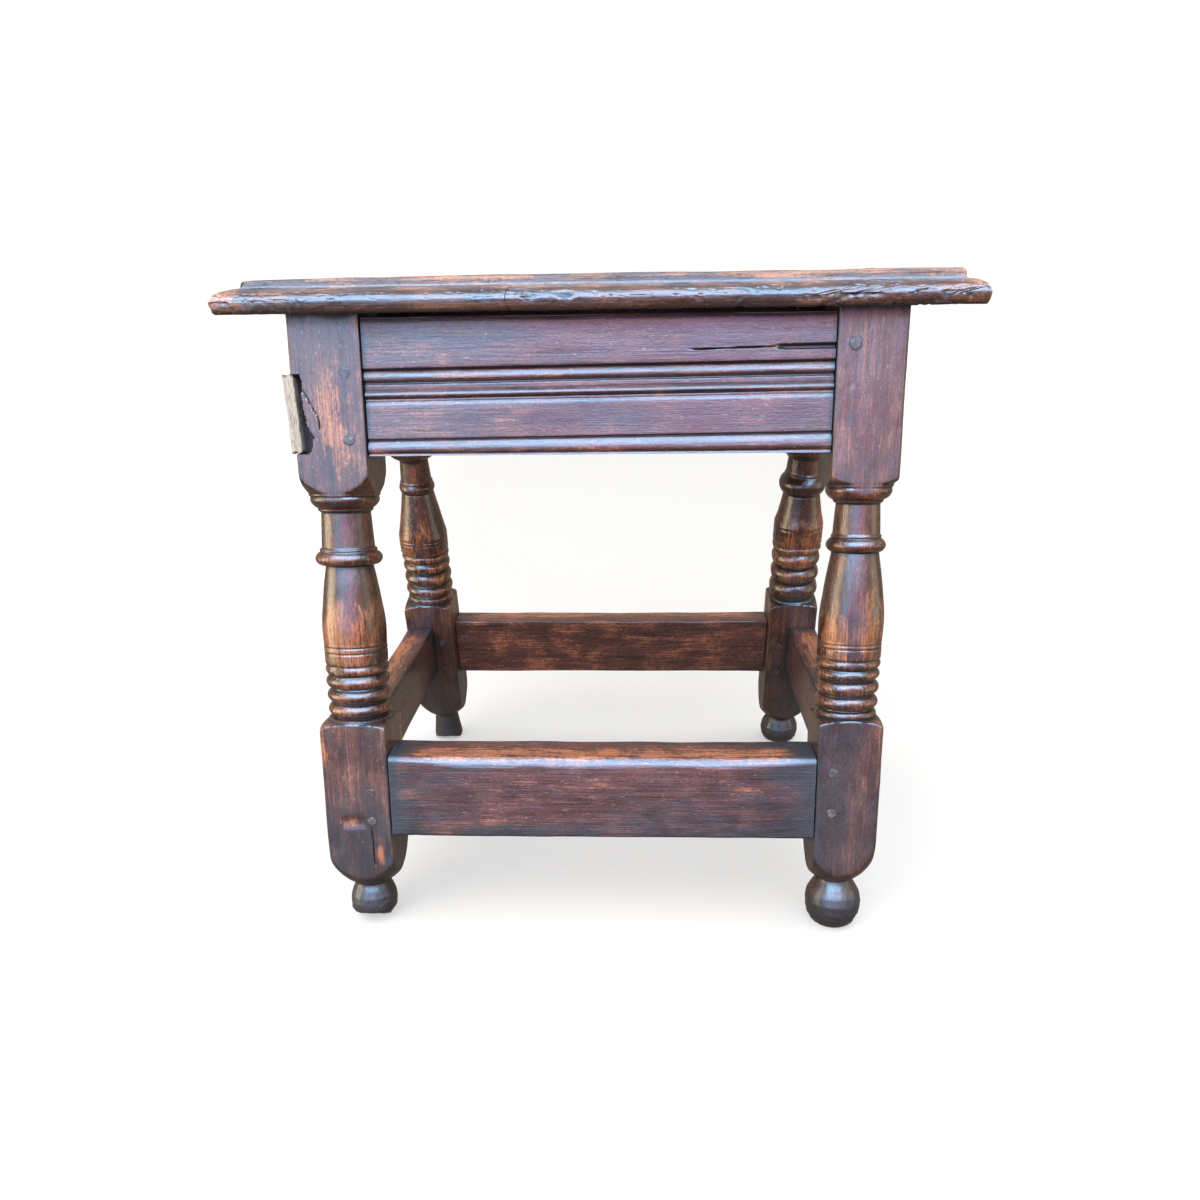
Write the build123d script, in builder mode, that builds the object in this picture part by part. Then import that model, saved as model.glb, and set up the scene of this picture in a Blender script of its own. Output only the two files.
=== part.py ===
from build123d import *
import os
from math import atan, cos, hypot, pi, sin

os.makedirs("parts", exist_ok=True)

# A joined oak stool. Millimetres. The origin is on the floor under the middle of the seat,
# +Z is up, X runs along the long side and -Y is the front. The legs stand upright when seen
# from the front and splay outward, towards the floor, when seen from the end.

# ---------------------------------------------------------------- overall sizes
leg_span_x = 400.0  # over the outer faces of the legs, along the stool
leg_span_y_top = 218.0  # over the outer faces of the legs, front to back, under the seat
leg_span_y_floor = 360.0  # the same at the floor, so the difference is the splay
under_seat = 433.0  # floor to the underside of the seat board

# ---------------------------------------------------------------- seat board
seat_thick = 22.0
overhang_ends = 43.0  # how far the seat reaches past the legs at each end
overhang_sides = 17.5  # the same at the front and the back
tier_inset = 19.0  # how far the raised middle stands back from the nosing
nosing_thick = 15.5  # thickness of the board at the foot of the raised middle
nose_height = 7.0  # height of the nosing's outermost line above the underside
nose_under = 3.5  # how far the nosing rounds back under
tier_round = 4.5  # rounding of the raised middle's edge

# The let-in strip is a length of nosing along the front edge, from the left end to a seam.
patch_end_x = -51.5
patch_end_bow = 2.8  # the seam bows towards the left end by this much

# ---------------------------------------------------------------- rails
frieze_deep = 85.5
frieze_gap = 3.0  # open joint between the frieze rails and the seat
frieze_thick = 22.0
frieze_recess = 2.0  # the rails stand back from the faces of the legs

# Run mouldings on the frieze rails. Heights are from the rail's bottom edge, depths from its face.
bottom_bead_low = 2.0
bottom_bead_high = 9.5
bottom_quirk_high = 10.8
lower_field_high = 33.5
second_bead_low = 36.5
second_bead_high = 41.5
band_high = 45.0
groove_high = 46.5
first_bead_high = 53.5
first_quirk_high = 54.7
quirk_depth = 2.4
lower_field_depth = 1.6
band_depth = 2.2
bead_depth = 0.4  # the crowns of the beads lie this far below the upper field
arris_round = 1.0  # the bottom edge's small rounding

# Stretchers: height of the lower edge at the outer face, depth of the rail and its thickness.
front_stretcher_bottom = 76.5
front_stretcher_deep = 60.0
back_stretcher_bottom = 82.5
back_stretcher_deep = 58.0
side_stretcher_bottom = 88.0
side_stretcher_deep = 50.0
long_stretcher_thick = 30.0
side_stretcher_thick = 25.0
stretcher_recess = 0.5
stretcher_wear = 5.0  # the upper outer arris, rounded by feet

# ---------------------------------------------------------------- joints
tenon_thick = 9.0
tenon_setback = 11.0  # from the outer face of the leg to the near face of the tenon
tenon_web = 1.0  # wood between the end of one mortise in a leg and the cheek of the other
tenon_shoulder = 6.0  # above and below a tenon
haunch = 14.0  # the frieze tenons stop this far below the rail's upper edge
mortise_ease = 0.1  # gap round a tenon
mortise_extra = 1.0  # the mortise is this much deeper than the tenon is long
peg_radius = 3.9
peg_hole_radius = 3.95
peg_from_shoulder = 11.5
peg_clear = 1.55  # a blind peg stops this far short of the holes of the pegs that cross it
peg_hole_extra = 1.0
peg_proud = 0.8  # shrinkage of the oak leaves the pegs standing out a little
peg_chamfer = 0.5
through_peg_proud = 3.0  # pegs that were driven right through and left long inside
seat_peg_depth = 14.0  # how far a seat peg reaches into the top of a leg

# ---------------------------------------------------------------- turned pattern of the legs
# Lengths are along the leg. The upper members hang from the foot of the upper block, the reeds
# stand on the top of the lower block, and the vase fills what is left below the ring.
upper_shoulder = 18.0  # height over which the turned shoulder runs out to the block's corners
shoulder_clear = 2.0  # the fillet under the shoulder is this much slimmer than the block
upper_fillet = 3.0
torus_height = 7.5
neck_fillet = 2.5
ring_fillet = 2.5
vase_radius = 22.3  # the vase is a plain drum above the reeds, then tapers to the ring
vase_drum_over = 2.5  # the taper starts this far above the upper incised line
incised_width = 1.2
incised_depth = 0.7
reed_radius = 21.1
reed_groove = 1.2
reed_groove_depth = 1.7
reed_bulge = 1.3
base_fillet_clear = 0.8  # the fillet on the lower block is this much slimmer than the block
lower_shoulder = 8.5
lower_block_round_top = 65.0  # where the rounding under the lower block starts at its corners
ankle_radius = 12.6
sole_radius = 7.0  # the ball would end this small, below the floor
sole_depth = 2.0
neck_taper = 1.2  # the neck is this much thicker at its foot
neck_fillet_out = 1.0
torus_clear = 0.2  # the torus under the upper block is this much slimmer than the block
torus_swell = 3.0

# What differs from leg to leg: each leg was turned by eye from the one pattern.
# side is -1 for left and 1 for right; face is -1 for front and 1 for back. The upper block is
# measured on the leg's axis, from the seat to the fillet under its shoulder. The ring hangs below
# it, and the lower block ends above its stretchers. The reeds are listed upward from the fillet
# on the lower block, and the two incised lines lie above them. The foot is a worn ball.
legs = {
    "leg_front_left": dict(
        side=-1,
        face=-1,
        block=48.0,
        upper_block=115.0,
        ring_drop=44.3,
        ring_radius=23.2,
        ring_half=4.6,
        ring_swell=3.2,
        neck_radius=17.0,
        vase_top_radius=16.4,
        vase_mid_radius=20.4,
        incised_lines=(9.5, 13.8),
        reeds=(9.2, 9.2, 9.3, 6.0),
        base_fillet=1.9,
        above_stretcher=25.9,
        ankle_height=34.0,
        ball_height=19.0,
        ball_radius=17.6,
    ),
    "leg_front_right": dict(
        side=1,
        face=-1,
        block=45.0,
        upper_block=111.0,
        ring_drop=40.5,
        ring_radius=20.2,
        ring_half=4.6,
        ring_swell=3.2,
        neck_radius=14.8,
        vase_top_radius=16.4,
        vase_mid_radius=20.4,
        incised_lines=(8.5, 11.5),
        reeds=(9.1, 9.6, 7.5, 5.4),
        base_fillet=5.7,
        above_stretcher=29.4,
        ankle_height=40.0,
        ball_height=22.0,
        ball_radius=20.4,
    ),
    "leg_back_left": dict(
        side=-1,
        face=1,
        block=45.0,
        upper_block=115.0,
        ring_drop=38.4,
        ring_radius=16.6,
        ring_half=3.9,
        ring_swell=1.2,
        neck_radius=12.6,
        vase_top_radius=14.8,
        vase_mid_radius=18.9,
        incised_lines=(11.1, 13.5),
        reeds=(10.2, 12.0, 10.3, 7.3),
        base_fillet=6.9,
        above_stretcher=30.0,
        ankle_height=35.0,
        ball_height=14.0,
        ball_radius=16.0,
    ),
    "leg_back_right": dict(
        side=1,
        face=1,
        block=45.0,
        upper_block=115.0,
        ring_drop=37.6,
        ring_radius=21.2,
        ring_half=8.8,
        ring_swell=4.2,
        neck_radius=14.4,
        vase_top_radius=16.7,
        vase_mid_radius=19.9,
        incised_lines=(11.4, 17.1),
        reeds=(15.2, 14.0, 14.5, 6.4),
        base_fillet=2.8,
        above_stretcher=31.0,
        ankle_height=33.0,
        ball_height=18.0,
        ball_radius=19.5,
    ),
}

# Where the two pegs of each joint sit, measured on the outer face of the leg: above the lower
# edge of the frieze rail, and above the lower edge of the stretcher.
frieze_pegs = {
    "front": {"leg_front_left": (10.5, 52.5), "leg_front_right": (19.5, 66.5)},
    "back": {"leg_back_left": (16.5, 59.5), "leg_back_right": (14.5, 62.5)},
    "left": {"leg_front_left": (18.5, 64.5), "leg_back_left": (22.5, 63.5)},
    "right": {"leg_front_right": (13.5, 57.5), "leg_back_right": (21.5, 65.5)},
}
stretcher_pegs = {
    "front": {"leg_front_left": (11.5, 31.5), "leg_front_right": (20.0, 50.0)},
    "back": {"leg_back_left": (17.5, 46.5), "leg_back_right": (14.5, 42.5)},
    "left": {"leg_front_left": (13.0, 36.0), "leg_back_left": (12.0, 38.0)},
    "right": {"leg_front_right": (14.0, 37.0), "leg_back_right": (11.0, 35.0)},
}

# ---------------------------------------------------------------- repair to the front left leg
# A slip of oak is let into the outer side of the upper block, and stands proud of it.
slip_drop = 61.5  # from the underside of the seat down to its middle
slip_height = 51.0
slip_thick = 6.2
slip_peg_clear = 2.5  # the slip stops this far short of the pegs of the left frieze rail
slip_proud = 2.6  # at half its height
slip_tilt = 3.0  # degrees: its top leans out of the leg
# Beside the slip the front face has broken away in a hollow, wide at both ends.
hollow_top_width = 5.5
hollow_waist_width = 1.5
hollow_foot_width = 5.0
hollow_taper = 17.0  # height of each wide end
hollow_depth = 7.0

# The front right foot has lost a chip off its outer side.
chip_height = 11.0
chip_inset = 13.0  # from the leg's axis

# ---------------------------------------------------------------- worked out from the above
splay = atan((leg_span_y_floor - leg_span_y_top) / 2 / under_seat)
lean = sin(splay)
upright = cos(splay)
seat_top = under_seat + seat_thick
frieze_top = under_seat - frieze_gap
frieze_bottom = frieze_top - frieze_deep
seat_length = leg_span_x + 2 * overhang_ends
seat_depth = leg_span_y_top + 2 * overhang_sides
overrun = 1.0  # cutting solids and the roots of tenons run this far past the surface they meet


def face_frame(face):
    """Frame of the front (-1) or back (1) leg faces: X along them, Y inward, Z up the legs."""
    return Plane(
        origin=(0, face * leg_span_y_floor / 2, 0),
        x_dir=(-face, 0, 0),
        z_dir=(0, -face * lean, upright),
    )


def side_frame(side):
    """Frame of the left (-1) or right (1) leg faces, which are upright: Y inward, Z up."""
    return Plane(origin=(side * leg_span_x / 2, 0, 0), x_dir=(0, side, 0), z_dir=(0, 0, 1))


def moved(frame, x=0.0, y=0.0):
    """The same frame with its origin shifted along its own X and Y."""
    return Plane(
        origin=frame.origin + frame.x_dir * x + frame.y_dir * y,
        x_dir=frame.x_dir,
        z_dir=frame.z_dir,
    )


def outer_face(frame):
    """Sketch plane on the legs' outer face, looking inward: X along it, Y up the leg."""
    return Plane(origin=frame.origin, x_dir=frame.x_dir, z_dir=-frame.y_dir)


def cross_plane(frame, x):
    """Sketch plane across a rail at x along it: X inward from the outer face, Y up."""
    return Plane(origin=frame.origin + frame.x_dir * x, x_dir=frame.y_dir, z_dir=frame.x_dir)


def along(frame, height):
    """Length up a leaning face that reaches a height above the floor."""
    return height / frame.z_dir.Z


def block_between(frame, low, high, mode=Mode.ADD):
    """A rectangular block between two corners, given in the frame's own X, Y and Z."""
    with BuildSketch(frame.offset(low[2])) as footprint:
        with Locations(((low[0] + high[0]) / 2, (low[1] + high[1]) / 2)):
            Rectangle(high[0] - low[0], high[1] - low[1])
    extrude(footprint.sketch, amount=high[2] - low[2], mode=mode)


# ---------------------------------------------------------------- where each leg stands
def leg_axis_frame(leg):
    """Frame on the leg's own axis at the floor: Z up the leg, Y inward."""
    frame = face_frame(leg["face"])
    from_middle = leg_span_x / 2 - leg["block"] / 2
    return moved(frame, x=-leg["face"] * leg["side"] * from_middle, y=leg["block"] / 2)


def inner_distance(leg):
    """Distance from the middle of the stool to the leg's inner side."""
    return leg_span_x / 2 - leg["block"]


def tenon_length(leg):
    """How far the tenons reach into a leg, each stopping short of the one that crosses it."""
    return leg["block"] - tenon_setback - tenon_thick - mortise_extra - tenon_web


def rear_face(leg):
    """Plane of the leg's inner face, front to back, with its normal towards the leg."""
    frame = moved(face_frame(leg["face"]), y=leg["block"])
    return Plane(origin=frame.origin, x_dir=frame.x_dir, z_dir=-frame.y_dir)


def find_leg(side, face):
    """Name of the leg in one corner."""
    return next(n for n, leg in legs.items() if leg["side"] == side and leg["face"] == face)


# ---------------------------------------------------------------- tenons and mortises
def long_tenon(leg, bottom, top, ease=0.0, extra=0.0):
    """Tenon of a front or back rail in one leg, as corners in the face frame; ease makes it a mortise."""
    inner = inner_distance(leg)
    towards = -leg["face"] * leg["side"]  # local X direction from the middle to this leg
    near = towards * (inner - overrun)
    far = towards * (inner + tenon_length(leg) + extra)
    frame = face_frame(leg["face"])
    low = (min(near, far), tenon_setback - ease, along(frame, bottom) - ease)
    high = (max(near, far), tenon_setback + tenon_thick + ease, along(frame, top) + ease)
    return frame, low, high


def cut_long_mortise(leg, bottom, top):
    """Mortise for a front or back rail's tenon."""
    block_between(*long_tenon(leg, bottom, top, mortise_ease, mortise_extra), mode=Mode.SUBTRACT)


def side_tenon(leg, bottom, top, ease=0.0, extra=0.0, mode=Mode.ADD):
    """Tenon of a side rail: level, with its shoulder and its end parallel to the leaning leg."""
    frame = side_frame(leg["side"])
    plane = Plane(
        origin=frame.origin + frame.y_dir * (tenon_setback - ease),
        x_dir=(0, 1, 0),
        z_dir=(1, 0, 0),
    )
    rear = rear_face(leg).origin
    out = leg["face"]  # world Y direction from the rail into the leg

    def shoulder_y(z):
        """Where the leg's inner face is at a height."""
        return rear.Y - out * (z - rear.Z) * lean / upright

    near = -overrun
    far = tenon_length(leg) + extra
    low, high = bottom - ease, top + ease
    with BuildSketch(plane) as cheek:
        with BuildLine():
            Polyline(
                (shoulder_y(low) + out * near, low),
                (shoulder_y(low) + out * far, low),
                (shoulder_y(high) + out * far, high),
                (shoulder_y(high) + out * near, high),
                close=True,
            )
        make_face()
    # The sketch plane's normal is world X, and the tenon runs inward from its outer face.
    extrude(cheek.sketch, amount=-leg["side"] * (tenon_thick + 2 * ease), mode=mode)


# ---------------------------------------------------------------- pegs
def peg_spots(frame, bottom, rises_by_leg, long_rail):
    """Peg centres above a rail's lower edge, in the sketch of outer_face(frame)."""
    spots = []
    for leg_name, rises in rises_by_leg.items():
        leg = legs[leg_name]
        for rise in rises:
            height = bottom + rise
            if long_rail:
                x = -leg["face"] * leg["side"] * (inner_distance(leg) + peg_from_shoulder)
            else:
                rear = rear_face(leg).origin
                y = rear.Y + leg["face"] * (peg_from_shoulder - (height - rear.Z) * lean / upright)
                x = leg["side"] * y
            spots.append((x, along(frame, height)))
    return spots


def bore_peg_holes(frame, spots, depth):
    """Peg holes from the outer face inward."""
    with BuildSketch(outer_face(frame).offset(peg_hole_extra)) as mouths:
        with Locations(*spots):
            Circle(peg_hole_radius)
    extrude(mouths.sketch, amount=-(depth + 2 * peg_hole_extra), mode=Mode.SUBTRACT)


def make_pegs(label, frame, spots, depth):
    """The pegs of one rail, as a group of separate solids."""
    with BuildPart() as pegs:
        with BuildSketch(outer_face(frame).offset(peg_proud)):
            with Locations(*spots):
                Circle(peg_radius)
        extrude(amount=-(depth + peg_proud))
        chamfer(pegs.edges().filter_by(GeomType.CIRCLE), length=peg_chamfer)
    write(pegs, label)


def write(piece, label):
    """Labels a finished piece and writes its STEP file."""
    piece.part.label = label
    export_step(piece.part, "parts/" + label + ".step")
    print(label, "solids", len(piece.part.solids()), "volume", round(piece.part.volume))


# ---------------------------------------------------------------- rails: where they run
stretcher_sizes = {
    "front": (front_stretcher_bottom, front_stretcher_deep, long_stretcher_thick),
    "back": (back_stretcher_bottom, back_stretcher_deep, long_stretcher_thick),
    "left": (side_stretcher_bottom, side_stretcher_deep, side_stretcher_thick),
    "right": (side_stretcher_bottom, side_stretcher_deep, side_stretcher_thick),
}
frames = {
    "front": face_frame(-1),
    "back": face_frame(1),
    "left": side_frame(-1),
    "right": side_frame(1),
}
rail_legs = {
    "front": (find_leg(-1, -1), find_leg(1, -1)),
    "back": (find_leg(-1, 1), find_leg(1, 1)),
    "left": (find_leg(-1, -1), find_leg(-1, 1)),
    "right": (find_leg(1, -1), find_leg(1, 1)),
}
frieze_tenon = (frieze_bottom + tenon_shoulder, frieze_top - haunch)


def stretcher_tenon(where):
    """Lowest and highest level of a stretcher's tenons."""
    bottom, deep, _ = stretcher_sizes[where]
    return bottom + tenon_shoulder, bottom + deep - tenon_shoulder


def is_long(where):
    """Whether a rail runs along the stool rather than front to back."""
    return where in ("front", "back")


def peg_reach(kind, where):
    """How deep the pegs of a joint go: the back stretcher's pass right through the legs."""
    blocks = [legs[n]["block"] for n in rail_legs[where]]
    if kind == "stretcher" and where == "back":
        return max(blocks) + through_peg_proud
    return min(blocks) - peg_from_shoulder - peg_hole_radius - peg_clear


def rail_bottom(kind, where):
    """Level of a rail's lower edge, at its outer face."""
    return frieze_bottom if kind == "frieze" else stretcher_sizes[where][0]


def spots_of(kind, where, leg_names):
    """Peg centres of a rail in the legs that are named."""
    rises = (frieze_pegs if kind == "frieze" else stretcher_pegs)[where]
    chosen = {n: rises[n] for n in leg_names}
    return peg_spots(frames[where], rail_bottom(kind, where), chosen, is_long(where))


def run_between_legs(where, section):
    """Extrudes a rail's cross-section from leg to leg, ending in its shoulders."""
    first, second = (legs[n] for n in rail_legs[where])
    frame = frames[where]
    if is_long(where):
        ends = [-leg["face"] * leg["side"] * inner_distance(leg) for leg in (first, second)]
        extrude(section(frame, min(ends)), amount=max(ends) - min(ends))
    else:
        half = leg_span_y_floor / 2
        extrude(section(frame, -half), amount=2 * half)
        for leg in (first, second):
            split(bisect_by=rear_face(leg), keep=Keep.BOTTOM)


def add_tenons(where, bottom, top):
    """Both tenons of a rail."""
    for leg_name in rail_legs[where]:
        leg = legs[leg_name]
        if is_long(where):
            block_between(*long_tenon(leg, bottom, top))
        else:
            side_tenon(leg, bottom, top)


# ---------------------------------------------------------------- frieze rails
def frieze_section(frame, x):
    """Cross-section of a frieze rail at x along it, with the mouldings on its outer face."""
    foot = along(frame, frieze_bottom)
    face = frieze_recess
    back = frieze_recess + frieze_thick
    over = along(frame, under_seat) + frieze_thick  # cut level with the floor afterwards

    def at(depth, height):
        """A point on the moulded face."""
        return (face + depth, foot + height)

    with BuildSketch(cross_plane(frame, x)) as section:
        with BuildLine():
            Polyline((back, over), (back, foot), at(bead_depth + arris_round, 0))
            Line(at(bead_depth + arris_round, 0), at(quirk_depth, bottom_bead_low))
            ThreePointArc(
                at(quirk_depth, bottom_bead_low),
                at(bead_depth, (bottom_bead_low + bottom_bead_high) / 2),
                at(quirk_depth, bottom_bead_high),
            )
            Polyline(
                at(quirk_depth, bottom_bead_high),
                at(quirk_depth, bottom_quirk_high),
                at(lower_field_depth, bottom_quirk_high),
                at(lower_field_depth, lower_field_high),
                at(band_depth, lower_field_high),
                at(band_depth, second_bead_low),
            )
            ThreePointArc(
                at(band_depth, second_bead_low),
                at(bead_depth, (second_bead_low + second_bead_high) / 2),
                at(band_depth, second_bead_high),
            )
            Polyline(
                at(band_depth, second_bead_high),
                at(band_depth, band_high),
                at(quirk_depth, band_high),
                at(quirk_depth, groove_high),
            )
            ThreePointArc(
                at(quirk_depth, groove_high),
                at(bead_depth, (groove_high + first_bead_high) / 2),
                at(quirk_depth, first_bead_high),
            )
            Polyline(
                at(quirk_depth, first_bead_high),
                at(quirk_depth, first_quirk_high),
                at(0, first_quirk_high),
                (face, over),
                (back, over),
            )
        make_face()
    return section.sketch


for where, frame in frames.items():
    with BuildPart() as frieze_rail:
        run_between_legs(where, frieze_section)
        split(bisect_by=Plane.XY.offset(frieze_top), keep=Keep.BOTTOM)
        add_tenons(where, *frieze_tenon)
        bore_peg_holes(frame, spots_of("frieze", where, rail_legs[where]), peg_reach("frieze", where))
    write(frieze_rail, "frieze_rail_" + where)

# ---------------------------------------------------------------- stretchers
def stretcher_section(where):
    """Maker of a stretcher's cross-section: level above and below, its upper outer arris worn round."""
    bottom, deep, thick = stretcher_sizes[where]

    def section_at(frame, x):
        """The cross-section at x along the stretcher."""
        near = stretcher_recess
        far = stretcher_recess + thick
        inner = near + stretcher_wear

        def level(depth, height):
            """The point at a height above the floor, this deep in from the outer face."""
            return (depth, along(frame, height - depth * frame.y_dir.Z))

        worn = level(near, bottom + deep - stretcher_wear)
        with BuildSketch(cross_plane(frame, x)) as section:
            with BuildLine():
                Polyline(
                    worn,
                    level(near, bottom),
                    level(far, bottom),
                    level(far, bottom + deep),
                    level(inner, bottom + deep),
                )
                RadiusArc(level(inner, bottom + deep), worn, -stretcher_wear)
            make_face()
        return section.sketch

    return section_at


for where, frame in frames.items():
    with BuildPart() as stretcher:
        run_between_legs(where, stretcher_section(where))
        add_tenons(where, *stretcher_tenon(where))
        spots = spots_of("stretcher", where, rail_legs[where])
        bore_peg_holes(frame, spots, peg_reach("stretcher", where))
    write(stretcher, "stretcher_" + where)

# ---------------------------------------------------------------- pegs of the rails
for where, frame in frames.items():
    for kind in ("frieze", "stretcher"):
        spots = spots_of(kind, where, rail_legs[where])
        make_pegs("pegs_" + kind + "_" + where, frame, spots, peg_reach(kind, where))

# ---------------------------------------------------------------- legs
def turned_outline(leg, plane):
    """The turner's pattern as a half outline on a plane: X is the radius, Y runs up the leg."""
    corner = hypot(leg["block"], leg["block"]) / 2 + overrun  # clears the square block's corners
    ball = leg["ball_height"]
    ankle = leg["ankle_height"]
    sole = -sole_depth  # below the floor, to be cut level
    stretcher_low, stretcher_deep, _ = stretcher_sizes["front" if leg["face"] < 0 else "back"]
    base = stretcher_low + stretcher_deep + leg["above_stretcher"]
    seat_level = along(face_frame(leg["face"]), under_seat)
    upper_block_bottom = seat_level - leg["upper_block"]
    top = seat_level + leg["block"]  # above the seat, to be cut level
    torus_radius = leg["block"] / 2 - torus_clear
    torus_side = torus_radius - torus_swell
    shoulder_radius = leg["block"] / 2 - shoulder_clear
    base_radius = leg["block"] / 2 - base_fillet_clear
    vase_top = leg["vase_top_radius"]

    with BuildSketch(plane) as outline:
        with BuildLine():
            # the ball foot, the rounding under the lower block and the block itself
            Line((0, sole), (sole_radius, sole))
            EllipticalCenterArc(
                (sole_radius, ball),
                leg["ball_radius"] - sole_radius,
                ball - sole,
                start_angle=-90,
                arc_size=90,
            )
            EllipticalCenterArc(
                (ankle_radius, ball),
                leg["ball_radius"] - ankle_radius,
                ankle - ball,
                start_angle=0,
                arc_size=90,
            )
            EllipticalCenterArc(
                (ankle_radius, lower_block_round_top),
                corner - ankle_radius,
                lower_block_round_top - ankle,
                start_angle=-90,
                arc_size=90,
            )
            Line((corner, lower_block_round_top), (corner, base - lower_shoulder))
            EllipticalCenterArc(
                (base_radius, base - lower_shoulder),
                corner - base_radius,
                lower_shoulder,
                start_angle=0,
                arc_size=90,
            )
            Line((base_radius, base), (base_radius, base + leg["base_fillet"]))

            # the reeds, each over its groove
            height = base + leg["base_fillet"]
            radius = base_radius
            groove_radius = reed_radius - reed_groove_depth
            for reed in leg["reeds"]:
                Polyline(
                    (radius, height),
                    (groove_radius, height),
                    (groove_radius, height + reed_groove),
                    (reed_radius, height + reed_groove),
                )
                height += reed_groove
                ThreePointArc(
                    (reed_radius, height),
                    (reed_radius + reed_bulge, height + reed / 2),
                    (reed_radius, height + reed),
                )
                height += reed
                radius = reed_radius

            # the drum with its incised lines, and the vase's taper up to the ring
            points = [(reed_radius, height), (vase_radius, height)]
            for line in leg["incised_lines"]:
                points.append((vase_radius, height + line))
                points.append((vase_radius - incised_depth, height + line + incised_width / 2))
                points.append((vase_radius, height + line + incised_width))
            drum_top = height + leg["incised_lines"][-1] + vase_drum_over
            points.append((vase_radius, drum_top))
            Polyline(*points)
            ring = upper_block_bottom - leg["ring_drop"]
            ring_low = ring - leg["ring_half"]
            ThreePointArc(
                (vase_radius, drum_top),
                (leg["vase_mid_radius"], (drum_top + ring_low) / 2),
                (vase_top, ring_low),
            )

            # the ring with its fillet, and the neck
            ring_side = leg["ring_radius"] - leg["ring_swell"]
            ring_high = ring + leg["ring_half"]
            Line((vase_top, ring_low), (ring_side, ring_low))
            ThreePointArc((ring_side, ring_low), (leg["ring_radius"], ring), (ring_side, ring_high))
            fillet_top = ring_high + ring_fillet
            neck_foot = leg["neck_radius"] + neck_taper
            torus_high = upper_block_bottom - upper_fillet
            torus_low = torus_high - torus_height
            neck_top = torus_low - neck_fillet
            neck_fillet_radius = leg["neck_radius"] + neck_fillet_out
            Polyline(
                (ring_side, ring_high),
                (ring_side, fillet_top),
                (neck_foot, fillet_top),
                (leg["neck_radius"], neck_top),
                (neck_fillet_radius, neck_top),
                (neck_fillet_radius, torus_low),
                (torus_side, torus_low),
            )

            # the torus, the fillet and the shoulder that runs out into the upper block
            ThreePointArc(
                (torus_side, torus_low),
                (torus_radius, (torus_low + torus_high) / 2),
                (torus_side, torus_high),
            )
            Polyline(
                (torus_side, torus_high),
                (shoulder_radius, torus_high),
                (shoulder_radius, upper_block_bottom),
            )
            EllipticalCenterArc(
                (shoulder_radius, upper_block_bottom + upper_shoulder),
                corner - shoulder_radius,
                upper_shoulder,
                start_angle=-90,
                arc_size=90,
            )
            Polyline(
                (corner, upper_block_bottom + upper_shoulder),
                (corner, top),
                (0, top),
                (0, sole),
            )
        make_face()
    return outline.sketch


def slip_frame():
    """Frame at the middle of the repair slip, on the outer side of the front left leg."""
    frame = face_frame(-1)
    tilt = slip_tilt * pi / 180
    middle = along(frame, under_seat - slip_drop)
    return Plane(
        origin=frame.origin - frame.x_dir * leg_span_x / 2 + frame.z_dir * middle,
        x_dir=frame.x_dir * cos(tilt) + frame.z_dir * sin(tilt),
        z_dir=frame.z_dir * cos(tilt) - frame.x_dir * sin(tilt),
    )


def slip_width():
    """How far the slip reaches back from the front face, clear of the pegs behind it."""
    return legs[find_leg(-1, -1)]["block"] - peg_from_shoulder - peg_hole_radius - slip_peg_clear


def cut_slip_pocket():
    """The housing for the repair slip, open to the side and to the front, and the hollow beside it."""
    frame = slip_frame()
    seat_x = slip_thick - slip_proud
    half = slip_height / 2
    outside = (-slip_thick, -overrun, -half)
    block_between(frame, outside, (seat_x, slip_width(), half), mode=Mode.SUBTRACT)
    with BuildSketch(outer_face(frame).offset(overrun)) as hollow:
        with BuildLine():
            Polyline(
                (seat_x - overrun, half),
                (seat_x + hollow_top_width, half),
                (seat_x + hollow_waist_width, half - hollow_taper),
                (seat_x + hollow_waist_width, hollow_taper - half),
                (seat_x + hollow_foot_width, hollow_taper / 2 - half),
                (seat_x, -half),
                (seat_x - overrun, -half),
                close=True,
            )
        make_face()
    extrude(hollow.sketch, amount=-(hollow_depth + overrun), mode=Mode.SUBTRACT)


def seat_peg_spots():
    """Where the pegs through the seat meet the middles of the leg tops, seen from above."""
    spots = []
    for leg in legs.values():
        frame = leg_axis_frame(leg)
        top = frame.origin + frame.z_dir * along(frame, under_seat)
        spots.append((top.X, top.Y))
    return spots


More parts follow.
